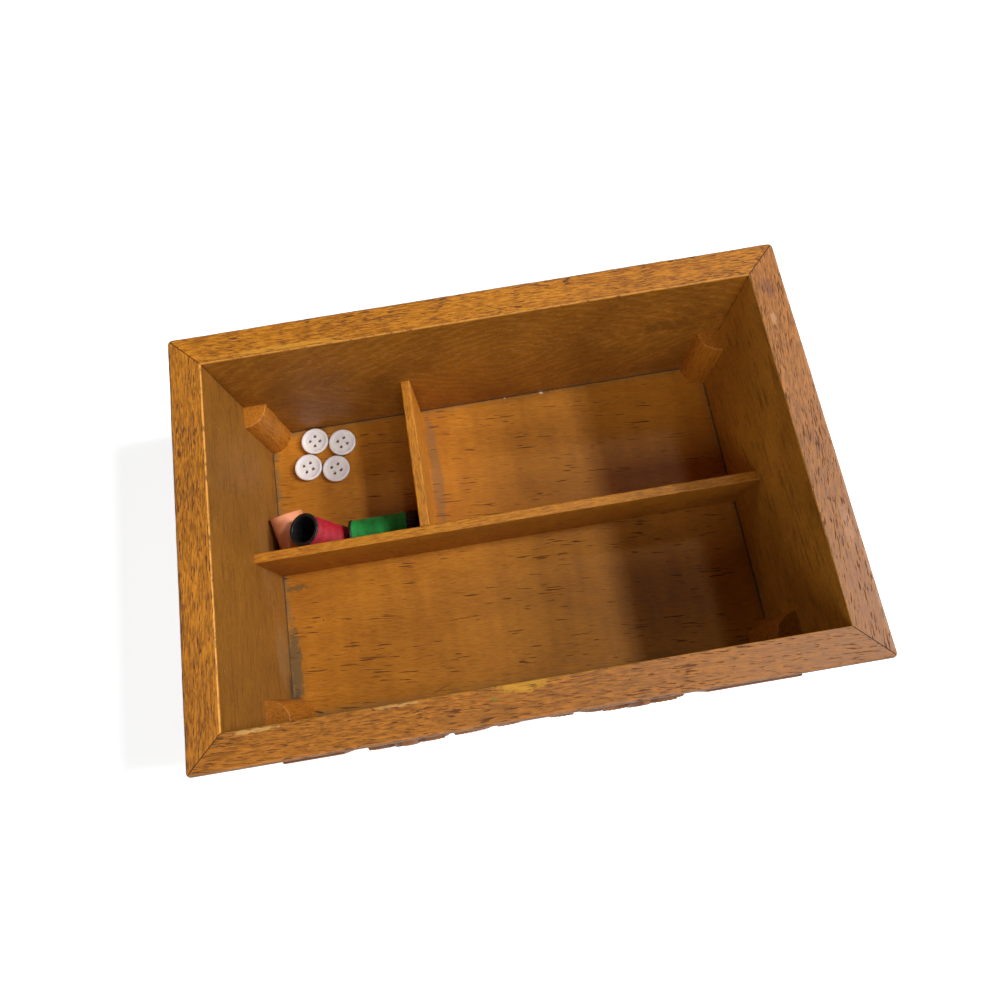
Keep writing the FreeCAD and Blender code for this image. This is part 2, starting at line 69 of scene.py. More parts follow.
class Grain(Enum):
    """Which way a piece's grain runs, as the turn that brings it onto X."""

    ALONG_X = (0.0, 0.0, 0.0)
    ALONG_Y = (0.0, 0.0, -math.pi / 2)
    UPRIGHT = (0.0, math.pi / 2, 0.0)


class Graph:
    """Adds nodes to one node tree and joins them."""

    def __init__(self, tree: bpy.types.NodeTree) -> None:
        """Start on a tree that is already there."""
        self.tree = tree

    def feed(self, target: Socket, item: object) -> None:
        """Link a socket to an input, or set the input to a value."""
        if isinstance(item, bpy.types.NodeSocket):
            self.tree.links.new(item, target)
        else:
            target.default_value = item

    def add(self, kind: str, inputs: dict | None = None, **settings: object) -> bpy.types.Node:
        """Add a shader node.

        Args:
            kind: The node's type, without its ShaderNode prefix.
            inputs: Values or sockets by input name or number.
            settings: Properties of the node itself.

        Returns:
            The new node.
        """
        node = self.tree.nodes.new(f"ShaderNode{kind}")
        for name, setting in settings.items():
            setattr(node, name, setting)
        for key, item in (inputs or {}).items():
            self.feed(node.inputs[key], item)
        return node

    def use(self, group: bpy.types.NodeTree, **inputs: object) -> dict[str, Socket]:
        """Place a node group.

        Args:
            group: The group's tree.
            inputs: Values or sockets by input name, with _ for each space.

        Returns:
            The group's outputs by name.
        """
        node = self.add("Group", {}, node_tree=group)
        for key, item in inputs.items():
            self.feed(node.inputs[key.replace("_", " ")], item)
        return {socket.name: socket for socket in node.outputs}

    def math(self, operation: str, *terms: object) -> Socket:
        """Join one, two or three numbers by an operation."""
        return self.add("Math", dict(enumerate(terms)), operation=operation).outputs[0]

    def vector(self, operation: str, *terms: object) -> Socket:
        """Join vectors by an operation that gives a vector."""
        return self.add("VectorMath", dict(enumerate(terms)), operation=operation).outputs["Vector"]

    def length(self, place: Socket) -> Socket:
        """Give the length of a vector."""
        return self.add("VectorMath", {0: place}, operation="LENGTH").outputs["Value"]

    def split(self, place: Socket) -> tuple[Socket, Socket, Socket]:
        """Give a vector's three parts."""
        node = self.add("SeparateXYZ", {0: place})
        return node.outputs[0], node.outputs[1], node.outputs[2]

    def ease(self, item: Socket, low: object, high: object) -> Socket:
        """Give 0 at low and 1 at high, with a smooth step between, whichever is greater."""
        inputs = {"Value": item, "From Min": low, "From Max": high}
        return self.add("MapRange", inputs, interpolation_type="SMOOTHSTEP").outputs["Result"]

    def span(self, item: Socket, low: object, high: object) -> Socket:
        """Stretch a share of 0 to 1 between two numbers."""
        return self.add("MapRange", {"Value": item, "To Min": low, "To Max": high}).outputs["Result"]

    def noise(self, place: Socket, scale: object, detail: float = 2.0, roughness: float = 0.5) -> Socket:
        """Give smooth noise of 0 to 1 at a place."""
        inputs = {"Vector": place, "Scale": scale, "Detail": detail, "Roughness": roughness}
        return self.add("TexNoise", inputs).outputs[0]

    def blend(self, share: object, first: object, second: object, mode: str = "MIX") -> Socket:
        """Mix two colours by a share of 0 to 1."""
        inputs = {0: share, 6: first, 7: second}
        return self.add("Mix", inputs, data_type="RGBA", blend_type=mode).outputs[2]


def new_group(name: str, inputs: dict[str, object], outputs: dict[str, str]) -> tuple[Graph, dict, Callable]:
    """Start a shader node group.

    Args:
        name: The group's name.
        inputs: Default values by input name. A number makes a value socket, three make a vector.
        outputs: Socket kinds by output name, each Float, Vector or Color.

    Returns:
        Its graph, its inputs by name, and a function that joins an output to a socket.
    """
    tree = bpy.data.node_groups.new(name, "ShaderNodeTree")
    for label, start in inputs.items():
        kind = "NodeSocketFloat" if isinstance(start, float) else "NodeSocketVector"
        tree.interface.new_socket(label, in_out="INPUT", socket_type=kind).default_value = start
    for label, kind in outputs.items():
        tree.interface.new_socket(label, in_out="OUTPUT", socket_type=f"NodeSocket{kind}")
    entry = tree.nodes.new("NodeGroupInput")
    ending = tree.nodes.new("NodeGroupOutput")
    return (Graph(tree), {label: entry.outputs[label] for label in inputs},
            lambda label, socket: tree.links.new(socket, ending.inputs[label]))


def open_pore_grain() -> bpy.types.NodeTree:
    """Build the grain of an open-pored hardwood, in millimetres, with X along the grain.

    Returns:
        A group that gives ring figure, broad tone, fine fibre, soft streaks, speckle and dark pore dashes.
    """
    graph, given, give = new_group(
        "open_pore_grain",
        {"Place": (0.0, 0.0, 0.0), "Heart": (0.0, 30.0, 20.0), "Stretch": 9.0, "Ring Width": 4.0, "Roundness": 2.0,
         "Ripple": 0.9, "Swirl": 3.0, "Slant": (0.0, 0.0, 0.0), "Rows": 0.5, "Patches": 0.5, "Pore Length": 6.0, "Pore Pitch": 0.5,
         "Pore Share": 0.5},
        {"Figure": "Float", "Tone": "Float", "Fibre": "Float", "Streaks": "Float", "Speckle": "Float",
         "Pores": "Float"})
    along = graph.split(given["Place"])[0]
    slope = graph.add("VectorMath", {0: given["Slant"], 3: along}, operation="SCALE").outputs["Vector"]
    place = graph.vector("ADD", given["Place"], slope)
    long_place = graph.vector("MULTIPLY", place, (0.018, 0.055, 0.055))
    bend = graph.add("TexNoise", {"Vector": long_place, "Scale": 1.0, "Detail": 2.0}).outputs["Color"]
    bend = graph.vector("SUBTRACT", bend, (0.5, 0.5, 0.5))
    swirl = graph.add("CombineXYZ", {0: graph.math("MULTIPLY", given["Swirl"], 3.0),
                                     1: given["Swirl"], 2: given["Swirl"]}).outputs[0]
    bent = graph.vector("ADD", place, graph.vector("MULTIPLY", bend, swirl))
    squeeze = graph.add("CombineXYZ", {0: graph.math("DIVIDE", 1.0, given["Stretch"]), 1: 1.0, 2: 1.0}).outputs[0]
    parts = graph.split(graph.vector("ABSOLUTE", graph.vector(
        "MULTIPLY", graph.vector("SUBTRACT", bent, given["Heart"]), squeeze)))
    powers = [graph.math("POWER", part, given["Roundness"]) for part in parts]
    total = graph.math("ADD", graph.math("ADD", powers[0], powers[1]), powers[2])
    away = graph.math("POWER", total, graph.math("DIVIDE", 1.0, given["Roundness"]))
    ripple = graph.noise(graph.vector("MULTIPLY", place, (0.08, 0.22, 0.22)), 1.0, 2.0)
    ring = graph.math("ADD", graph.math("DIVIDE", away, given["Ring Width"]), graph.math("MULTIPLY", ripple, given["Ripple"]))
    wave = graph.math("SINE", graph.math("MULTIPLY", ring, math.tau))
    give("Figure", graph.span(wave, 0.5, 1.0))
    tone = graph.noise(graph.vector("MULTIPLY", place, (0.014, 0.05, 0.05)), 1.0, 2.0)
    bands = graph.noise(graph.vector("MULTIPLY", place, (0.19, 0.03, 0.03)), 1.0, 1.0)
    give("Tone", graph.ease(graph.math("MULTIPLY_ADD", bands, 0.45, tone), 0.48, 0.98))
    fibre = graph.noise(graph.vector("MULTIPLY", bent, (0.24, 1.9, 1.9)), 1.0, 3.0, 0.75)
    give("Fibre", graph.ease(fibre, 0.36, 0.64))
    streaks = graph.noise(graph.vector("MULTIPLY", bent, (0.07, 0.62, 0.62)), 1.0, 3.0, 0.55)
    give("Streaks", graph.ease(streaks, 0.52, 0.7))
    speckle = graph.noise(graph.vector("MULTIPLY", place, (0.8, 1.5, 1.5)), 1.0, 3.0, 0.7)
    give("Speckle", graph.ease(speckle, 0.3, 0.7))
    rows = graph.ease(wave, -0.9, 0.5)
    patches = graph.ease(graph.noise(graph.vector("MULTIPLY", place, (0.04, 0.13, 0.13)), 1.0, 2.0), 0.36, 0.62)
    crowd = graph.math("MULTIPLY", graph.span(rows, graph.math("SUBTRACT", 1.0, given["Rows"]), 1.0),
                       graph.span(patches, graph.math("SUBTRACT", 1.0, given["Patches"]), 1.0))
    pitch = given["Pore Pitch"]
    cell = graph.add("CombineXYZ", {0: given["Pore Length"], 1: pitch, 2: pitch}).outputs[0]
    dashes = graph.noise(graph.vector("DIVIDE", bent, cell), 1.0, 1.0, 0.4)
    groups = graph.ease(graph.noise(graph.vector("MULTIPLY", place, (0.16, 0.2, 0.2)), 1.0, 1.0), 0.3, 0.6)
    crowd = graph.math("MULTIPLY", crowd, graph.span(groups, 0.72, 1.0))
    least = graph.math("MULTIPLY_ADD", graph.math("MULTIPLY", given["Pore Share"], crowd), -0.24, 0.78)
    give("Pores", graph.ease(dashes, least, graph.math("ADD", least, 0.1)))
    return graph.tree


def box_lines() -> bpy.types.NodeTree:
    """Build distances, in millimetres, to the lines that the box's walls make.

    Returns:
        A group that gives how far a place is outside the inner faces, inside them, and from a mitre.
    """
    graph, given, give = new_group("box_lines", {"Place": (0.0, 0.0, 0.0), "Half": (94.0, 60.0, 0.0)},
                                   {"Outward": "Float", "Inward": "Float", "Mitre": "Float"})
    across = graph.vector("SUBTRACT", graph.vector("ABSOLUTE", given["Place"]), given["Half"])
    past_x, past_y, _ = graph.split(across)
    give("Outward", graph.math("MAXIMUM", past_x, past_y))
    give("Inward", graph.math("MINIMUM", graph.math("MULTIPLY", past_x, -1.0), graph.math("MULTIPLY", past_y, -1.0)))
    give("Mitre", graph.math("ABSOLUTE", graph.math("SUBTRACT", past_x, past_y)))
    return graph.tree


def worn_line() -> bpy.types.NodeTree:
    """Build a line along an edge that comes and goes with noise.

    Returns:
        A group that gives a mask from the distance to the edge, in millimetres.
    """
    graph, given, give = new_group(
        "worn_line", {"Distance": 0.0, "Place": (0.0, 0.0, 0.0), "Width": 1.0, "Breaks": 0.5, "Grit": 0.4},
        {"Mask": "Float"})
    coarse = graph.noise(given["Place"], given["Grit"], 3.0, 0.6)
    width = graph.math("MULTIPLY", given["Width"], graph.span(coarse, 0.3, 1.7))
    line = graph.ease(graph.math("ABSOLUTE", given["Distance"]), width, 0.0)
    gate = graph.ease(coarse, graph.math("MULTIPLY", given["Breaks"], 0.75),
                      graph.math("ADD", graph.math("MULTIPLY", given["Breaks"], 0.75), 0.16))
    give("Mask", graph.math("MULTIPLY", line, gate))
    return graph.tree


def stain_spot() -> bpy.types.NodeTree:
    """Build a ragged spot.

    Returns:
        A group that gives a mask round a centre, in millimetres, with a size along each axis and a turn about Z.
    """
    graph, given, give = new_group(
        "stain_spot", {"Place": (0.0, 0.0, 0.0), "Centre": (0.0, 0.0, 0.0), "Size": (1.0, 1.0, 1.0), "Turn": 0.0,
                       "Ragged": 0.5, "Grit": 0.6}, {"Mask": "Float"})
    turned = graph.add("VectorRotate", {"Vector": given["Place"], "Center": given["Centre"], "Angle": given["Turn"]},
                       rotation_type="Z_AXIS").outputs[0]
    away = graph.length(graph.vector("DIVIDE", graph.vector("SUBTRACT", turned, given["Centre"]), given["Size"]))
    rough = graph.math("MULTIPLY", graph.math("SUBTRACT", graph.noise(given["Place"], given["Grit"], 4.0, 0.65), 0.5),
                       graph.math("MULTIPLY", given["Ragged"], 3.0))
    give("Mask", graph.ease(graph.math("ADD", away, rough), 1.1, 0.5))
    return graph.tree


@dataclass(frozen=True)
class Stain:
    """A small mark on a board: its place and half sizes in millimetres, its turn in degrees and its colour."""

    centre: tuple[float, float, float]
    size: tuple[float, float, float]
    colour: Colour
    strength: float
    turn: float = 0.0
    ragged: float = 0.5

    def add(self, graph: Graph, kit: "EffectKit", place: Socket, colour: Socket) -> Socket:
        """Lay the mark over a colour."""
        mask = graph.use(kit.spot, Place=place, Centre=self.centre, Size=self.size, Turn=-math.radians(self.turn),
                         Ragged=self.ragged, Grit=0.9 / max(self.size[:2]) + 0.3)["Mask"]
        return graph.blend(graph.math("MULTIPLY", mask, self.strength), colour, self.colour)


@dataclass(frozen=True)
class WoodFinish:
    """Varnished open-pored hardwood."""

    light: Colour = shade(194, 121, 24)
    dark: Colour = shade(158, 88, 8)
    pore: Colour = shade(78, 36, 2)
    figure: float = 0.12
    tone: float = 0.26
    pore_strength: float = 0.85
    roughness: float = 0.56
    coat: float = 0.06
    gloss: float = 0.45
    stretch: float = 9.0
    ring_width: float = 4.0
    roundness: float = 2.0
    ripple: float = 0.9
    swirl: float = 3.0
    slant: tuple[float, float, float] = (0.0, 0.0, 0.0)
    rows: float = 0.25
    patches: float = 0.3
    pore_length: float = 3.4
    pore_pitch: float = 0.36
    pore_share: float = 1.15

    def build(self, name: str, kit: "EffectKit", grain: Grain, heart: tuple[float, float, float],
              after: Callable | None = None) -> bpy.types.Material:
        """Make the wood of one board.

        Args:
            name: The material's name.
            kit: The shared effects.
            grain: Which way the grain runs.
            heart: Where the tree's heart lies from the board, in millimetres with X along the grain.
            after: Changes colour, pore and roughness once the plain wood is made.

        Returns:
            The material.
        """
        material = bpy.data.materials.new(name)
        material.use_nodes = True
        graph = Graph(material.node_tree)
        shader = material.node_tree.nodes["Principled BSDF"]
        spot = graph.add("TexCoord").outputs["Object"]
        place = graph.vector("MULTIPLY", spot, (1 / MM, 1 / MM, 1 / MM))
        turned = graph.add("Mapping", {"Vector": place, "Rotation": grain.value}).outputs[0]
        wood = graph.use(kit.grain, Place=turned, Heart=heart, Stretch=self.stretch, Ring_Width=self.ring_width,
                         Roundness=self.roundness, Ripple=self.ripple, Swirl=self.swirl, Slant=self.slant, Rows=self.rows,
                         Patches=self.patches, Pore_Length=self.pore_length, Pore_Pitch=self.pore_pitch,
                         Pore_Share=self.pore_share)
        share = graph.math("MULTIPLY", wood["Figure"], self.figure)
        share = graph.math("MULTIPLY_ADD", wood["Tone"], self.tone, share)
        share = graph.math("MULTIPLY_ADD", wood["Fibre"], 1.0 - self.figure - self.tone, share)
        colour = graph.blend(share, self.dark, self.light)
        pores = graph.math("MULTIPLY", wood["Pores"], self.pore_strength)
        rough = graph.span(wood["Fibre"], self.roughness - 0.06, self.roughness + 0.08)
        if after is not None:
            colour, pores, rough = after(graph, place, wood, colour, pores, rough)
        colour = graph.blend(pores, colour, self.pore)
        rough = graph.math("MULTIPLY_ADD", pores, 0.35, rough)
        height = graph.math("SUBTRACT", graph.math("MULTIPLY", wood["Fibre"], 0.25), pores)
        bump = graph.add("Bump", {"Strength": 0.55, "Distance": 0.12 * MM, "Height": height})
        graph.feed(shader.inputs["Base Color"], colour)
        graph.feed(shader.inputs["Roughness"], rough)
        graph.feed(shader.inputs["Normal"], bump.outputs[0])
        shader.inputs["Coat Weight"].default_value = self.coat
        shader.inputs["Coat Roughness"].default_value = 0.35
        shader.inputs["Specular IOR Level"].default_value = self.gloss
        return material


class EffectKit:
    """The shared shader effects, each built once."""

    def __init__(self) -> None:
        """Build every shared group."""
        self.grain = open_pore_grain()
        self.lines = box_lines()
        # The broken edge line draws real dust and dark joints, and also painted shade and a painted highlight along the
        # walls' edges.
        self.worn = worn_line()
        self.spot = stain_spot()


def loft(rings: np.ndarray, closed: bool = False) -> tuple[np.ndarray, list[tuple[int, ...]]]:
    """Join rings of points into a solid's skin.

    Args:
        rings: Points by ring and place round it, each ring running the same way.
        closed: True where the last ring joins the first, otherwise both ends are capped.

    Returns:
        The points in one list, and the faces.
    """
    count, around, _ = rings.shape
    faces = []
    for ring in range(count if closed else count - 1):
        here, there = ring * around, (ring + 1) % count * around
        for spot in range(around):
            after = (spot + 1) % around
            faces.append((here + spot, here + after, there + after, there + spot))
    if not closed:
        faces.append(tuple(range(around - 1, -1, -1)))
        faces.append(tuple(range((count - 1) * around, count * around)))
    return rings.reshape(-1, 3), faces


def make_piece(name: str, points: np.ndarray, faces: list[tuple[int, ...]], smooth: float = 35.0,
               even: bool = True) -> bpy.types.Object:
    """Turn millimetre points and faces into an object of the scene.

    Args:
        name: The piece's name.
        points: Places in millimetres.
        faces: Corners of each face, counted from 0.
        smooth: Edges sharper than this many degrees stay crisp.
        even: True to keep large flat faces flat in their shading.

    Returns:
        The new object.
    """
    mesh = bpy.data.meshes.new(name)
    mesh.from_pydata((points * MM).tolist(), [], faces)
    mesh.validate()
    mesh.polygons.foreach_set("use_smooth", [True] * len(mesh.polygons))
    mesh.set_sharp_from_angle(angle=math.radians(smooth))
    piece = bpy.data.objects.new(name, mesh)
    bpy.context.scene.collection.objects.link(piece)
    if even:
        piece.modifiers.new("even_shading", "WEIGHTED_NORMAL").keep_sharp = True
    return piece


def dress(piece: bpy.types.Object, material: bpy.types.Material) -> None:
    """Give a piece one material in place of any it has."""
    piece.data.materials.clear()
    piece.data.materials.append(material)


def seat(piece: bpy.types.Object, body: str, node: str, material: bpy.types.Material) -> None:
    """Put a piece on its body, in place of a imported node, with its finish."""
    dress(piece, material)
    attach(piece, body)
    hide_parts(node)
    LOG.info("%s replaces %s on %s", piece.name, node, body)


def arc(centre: tuple[float, float], radius: float, start: float, steps: int = 5) -> list[tuple[float, float]]:
    """Give the points of a clockwise quarter turn from a bearing in degrees."""
    spots = []
    for step in range(steps + 1):
        bearing = math.radians(start - 90.0 * step / steps)
        spots.append((centre[0] + radius * math.cos(bearing), centre[1] + radius * math.sin(bearing)))
    return spots


def drift(place: float, seed: float, rate: float) -> float:
    """Give smooth noise of about -1 to 1 along a line."""
    return noise.noise(Vector((place * rate, seed, 0.37 * seed)))


@dataclass(frozen=True)
class WallPlan:
    """One wall: which way it faces, its grain and its colours, set wall by wall so that they carry painted light and
    shade besides the board's tone.
    """

    label: str
    lengthways: bool
    turn: float
    seed: float
    grain: Grain
    heart: tuple[float, float, float]
    light: Colour
    dark: Colour
    inner_light: Colour
    inner_dark: Colour
    slant: float = 0.0
    arris_shine: float = 0.4
    rings: float = 0.0
    dust: float = 0.0
    stains: tuple[Stain, ...] = ()


SCUFF = shade(214, 172, 104)
CRUMB = shade(236, 228, 206)
FRONT_STAINS = (
    Stain((-4.5, -60.2, 73.0), (9.0, 2.0, 3.0), shade(200, 146, 34), 0.6),
    Stain((-13.4, -62.7, 73.0), (1.0, 0.8, 1.0), shade(112, 108, 34), 0.7),
    Stain((-84.0, -60.0, 73.0), (8.0, 0.6, 1.5), SCUFF, 0.55, ragged=0.9),
    Stain((-42.0, -59.8, 73.0), (7.0, 0.5, 1.5), SCUFF, 0.4, ragged=0.9),
    Stain((-20.0, -67.0, 73.0), (16.0, 3.0, 2.0), shade(134, 82, 20), 0.35),
)
RIGHT_STAINS = (
    Stain((98.3, 53.0, 73.0), (2.6, 4.6, 2.0), shade(116, 72, 54), 0.5),
    Stain((97.0, 42.0, 73.0), (1.2, 3.0, 1.5), shade(206, 154, 112), 0.45),
    Stain((100.5, -30.0, 73.0), (1.6, 7.0, 1.5), shade(196, 146, 112), 0.35),
)
BACK_STAINS = (
    Stain((31.6, 67.8, 73.0), (0.5, 0.4, 1.0), shade(52, 26, 6), 0.8, ragged=0.2),
    Stain((-66.0, 60.6, 73.0), (26.0, 0.8, 1.6), shade(214, 156, 52), 0.4, ragged=0.8),
    Stain((70.0, 59.3, 46.0), (12.0, 1.0, 5.0), shade(72, 38, 4), 0.35),
)
LEFT_STAINS = (
    Stain((-93.1, -34.0, 13.0), (2.0, 14.0, 7.0), shade(150, 116, 74), 0.4),
    Stain((-93.1, -48.0, 6.0), (2.0, 7.0, 2.4), shade(70, 60, 42), 0.75),
    Stain((-93.1, 4.0, 22.0), (2.0, 20.0, 10.0), shade(152, 108, 60), 0.3),
)
FLOOR_STAINS = (
    Stain((-90.6, -38.0, 4.5), (2.4, 20.0, 1.0), shade(96, 84, 54), 0.75, ragged=0.7),
    Stain((-91.4, -54.0, 4.5), (1.6, 7.0, 1.0), shade(66, 58, 44), 0.8, ragged=0.8),
    Stain((-90.4, 12.0, 4.5), (2.0, 10.0, 1.0), shade(102, 84, 50), 0.6, ragged=0.7),
    Stain((-83.6, -57.2, 4.5), (2.4, 0.5, 1.0), shade(30, 22, 14), 0.8, turn=-20.0),
    Stain((-25.6, 30.0, 4.5), (2.8, 34.0, 1.0), shade(118, 96, 66), 0.5, ragged=0.4),
    Stain((-30.2, 37.8, 4.5), (0.45, 0.45, 0.6), CRUMB, 0.9, ragged=0.2),
    Stain((23.8, 58.4, 4.5), (1.0, 0.6, 0.8), CRUMB, 0.95, ragged=0.3),
    Stain((8.0, 58.7, 4.5), (0.5, 0.35, 0.6), CRUMB, 0.8, ragged=0.3),
    Stain((-36.0, -56.4, 4.5), (5.0, 0.16, 0.5), shade(58, 22, 8), 0.85, turn=20.0, ragged=0.06),
    Stain((-78.5, -22.6, 4.5), (0.35, 0.5, 0.5), shade(70, 34, 8), 0.8, ragged=0.2),
    Stain((-88.0, -8.0, 4.5), (5.0, 1.2, 1.0), shade(88, 72, 44), 0.6, ragged=0.9),
)


@dataclass
class Carcass:
    """The four mitred walls and the floor panel, without its pins."""

    kit: EffectKit
    corner_radius: float = 1.5
    outer_arris: float = 1.3
    inner_arris: float = 0.35
    lower_arris: float = 0.4
    rebate_width: float = 5.0
    seam_depth: float = 0.14
    station_gap: float = 1.6
    plans: tuple[WallPlan, ...] = (
        # Painted light and shade in these colours: the front wall is darker as painted shade, and the right wall's
        # inner face lighter as painted light.
        WallPlan("front_wall", True, 0.0, 11.0, Grain.ALONG_X, (40.0, 46.0, 31.0), shade(186, 113, 22),
                 shade(106, 60, 4), shade(152, 100, 30), shade(122, 78, 16), slant=0.05, arris_shine=0.35,
                 stains=FRONT_STAINS),
        WallPlan("right_wall", False, 90.0, 23.0, Grain.ALONG_Y, (30.0, 150.0, 24.0), shade(188, 120, 52),
                 shade(106, 60, 20), shade(205, 140, 40), shade(150, 98, 16), slant=0.1, arris_shine=0.15,
                 stains=RIGHT_STAINS),
        WallPlan("back_wall", True, 180.0, 37.0, Grain.ALONG_X, (8.0, 59.1, 42.0), shade(210, 134, 22),
                 shade(120, 62, 2), shade(165, 102, 14), shade(112, 64, 2), slant=0.04, arris_shine=0.6,
                 rings=1.0, stains=BACK_STAINS),
        WallPlan("left_wall", False, 270.0, 53.0, Grain.ALONG_Y, (-20.0, -150.0, 12.0), shade(200, 126, 22),
                 shade(108, 58, 4), shade(152, 100, 30), shade(122, 78, 16), slant=0.03, arris_shine=1.0,
                 dust=0.5, stains=LEFT_STAINS),
    )

    def __post_init__(self) -> None:
        """Take the box's overall sizes from the frame."""
        low, high = node_box("floor_panel")
        self.floor_top = high[2]
        low, high = node_box("right_wall")
        self.length = 2 * high[0]
        self.height = high[2]
        low, high = node_box("back_wall")
        self.width = 2 * high[1]
        self.thickness = high[1] - low[1]

    def corner_cut(self, place: float, half: float) -> float:
        """Give how far the rounded upright corner draws the outer face in, near a wall's end."""
        left = half - abs(place)
        if left >= self.corner_radius:
            return 0.0
        return self.corner_radius - (left + math.sqrt(2 * self.corner_radius ** 2 - left ** 2)) / 2

    def section(self, place: float, half: float, seed: float, inset: float) -> list[tuple[float, float]]:
        """Give a wall's section, as depths behind the outer face and heights.

        Args:
            place: How far along the wall from its middle, in millimetres.
            half: Half the wall's outside length.
            seed: Which wall, for its own wear.
            inset: How far the section is drawn in all round.

        Returns:
            The section's corners, starting under the outer face.
        """
        outer = self.outer_arris * (1.0 + 0.22 * drift(place, seed, 0.06) + 0.1 * drift(place, seed + 5, 0.35))
        chip = max(0.0, drift(place, seed + 9, 0.16) - 0.35) * 1.6
        inner = self.inner_arris * (1.0 + 0.5 * drift(place, seed + 2, 0.12)) + chip * self.inner_arris
        lower = self.lower_arris
        far = self.thickness - inset
        near = inset + self.corner_cut(place, half)
        top = self.height - inset
        ledge = self.floor_top
        points = [(near + lower, inset)]
        points += arc((near + lower, inset + lower), lower, 270.0)[1:]
        points += arc((near + outer, top - outer), outer, 180.0)
        points += arc((far - inner, top - inner), inner, 90.0)
        points += [(far, ledge), (self.thickness - self.rebate_width, ledge),
                   (self.thickness - self.rebate_width, inset)]
        return points

    def wall(self, label: str, run: float, depth: float, turn: float, seed: float) -> bpy.types.Object:
        """Build one mitred wall.

        Args:
            label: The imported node's name.
            run: The box's outside size along the wall.
            depth: The box's other outside size.
            turn: The wall's turn from the front, in degrees.
            seed: A number for its own wear.

        Returns:
            The new wall.
        """
        half = run / 2
        ends = [0.0, self.seam_depth, 0.35, 0.6, 0.9, self.corner_radius]
        inner = np.linspace(-half + 2.0, half - 2.0, int(run / self.station_gap))
        stations = [-half + end for end in ends] + list(inner) + [half - end for end in reversed(ends)]
        rings = []
        for place in stations:
            inset = self.seam_depth if abs(place) > half - self.seam_depth / 2 else 0.0
            section = self.section(place, half, seed, inset)
            rings.append([((half - far) * place / half, -depth / 2 + far, up) for far, up in section])
        spin = np.array(Matrix.Rotation(math.radians(turn), 3, "Z"))
        points, faces = loft(np.array(rings) @ spin.T)
        return make_piece(f"{label}_board", points, faces)

    def aged(self, plan: WallPlan) -> Callable:
        """Give what age and light do to a wall: seams, a dusty foot, a duller inside, grime with painted shade on the
        outer face, and a painted highlight along the inner arris.

        Args:
            plan: The wall's colours, with the painted light and shade they carry.

        Returns:
            What changes its colour, pores and roughness.
        """
        half = (self.length / 2 - self.thickness, self.width / 2 - self.thickness, 0.0)
        top, foot = self.height, self.floor_top

        def change(graph: Graph, place: Socket, wood: dict, colour: Socket, pores: Socket, rough: Socket) -> tuple:
            """Add the wall's marks, its painted shade and its painted highlight."""
            lines = graph.use(self.kit.lines, Place=place, Half=half)
            height = graph.split(place)[2]
            inside = graph.ease(lines["Outward"], 0.3, 0.1)
            outside = graph.math("SUBTRACT", 1.0, inside)
            cloud = graph.noise(place, 0.035, 3.0, 0.6)
            mottle = graph.math("MULTIPLY_ADD", wood["Speckle"], 0.22, graph.math("MULTIPLY", wood["Fibre"], 0.14))
            mottle = graph.math("MULTIPLY_ADD", cloud, 0.9, mottle)
            dull = graph.blend(graph.ease(mottle, 0.3, 1.0), plan.inner_dark, plan.inner_light)
            ridges = graph.math("MULTIPLY", graph.ease(wood["Figure"], 0.5, 1.0), graph.span(wood["Speckle"], 0.3, 1.0))
            ridges = graph.math("MULTIPLY", ridges, graph.ease(cloud, 0.3, 0.6))
            dull = graph.blend(graph.math("MULTIPLY", ridges, 0.6 * plan.rings), dull, shade(176, 118, 46))
            streaks = graph.math("MULTIPLY", wood["Streaks"], 0.5 - 0.2 * plan.rings)
            dull = graph.blend(streaks, dull, shade(84, 46, 6))
            grit = graph.math("MULTIPLY", graph.ease(graph.noise(place, 0.9, 2.0, 0.6), 0.66, 0.74), plan.dust)
            dull = graph.blend(graph.math("MULTIPLY", grit, 0.6), dull, shade(206, 176, 122))
            colour = graph.blend(graph.math("MULTIPLY", inside, 0.9), colour, dull)
            pores = graph.math("MULTIPLY", pores, graph.span(inside, 1.0, 0.25))
            east, north, _ = graph.split(place)
            faded = graph.math("MULTIPLY", graph.ease(east, -20.0, 90.0), graph.ease(north, 70.0, -60.0))
            faded = graph.math("MULTIPLY", graph.math("MULTIPLY", faded, outside), graph.span(cloud, 0.3, 1.0))
            colour = graph.blend(graph.math("MULTIPLY", faded, 0.6), colour, shade(140, 98, 66))
            # Painted highlight: a lighter broken line along the inner arris of the top, as strong as the wall's
            # arris_shine.
            rim = graph.ease(height, top - 1.0, top - 0.4)
            bright = graph.use(self.kit.worn, Distance=lines["Outward"], Place=place, Width=0.5, Breaks=0.46,
                               Grit=0.25)["Mask"]
            bright = graph.math("MULTIPLY", bright, rim)
            colour = graph.blend(graph.math("MULTIPLY", bright, plan.arris_shine), colour, shade(228, 158, 62))
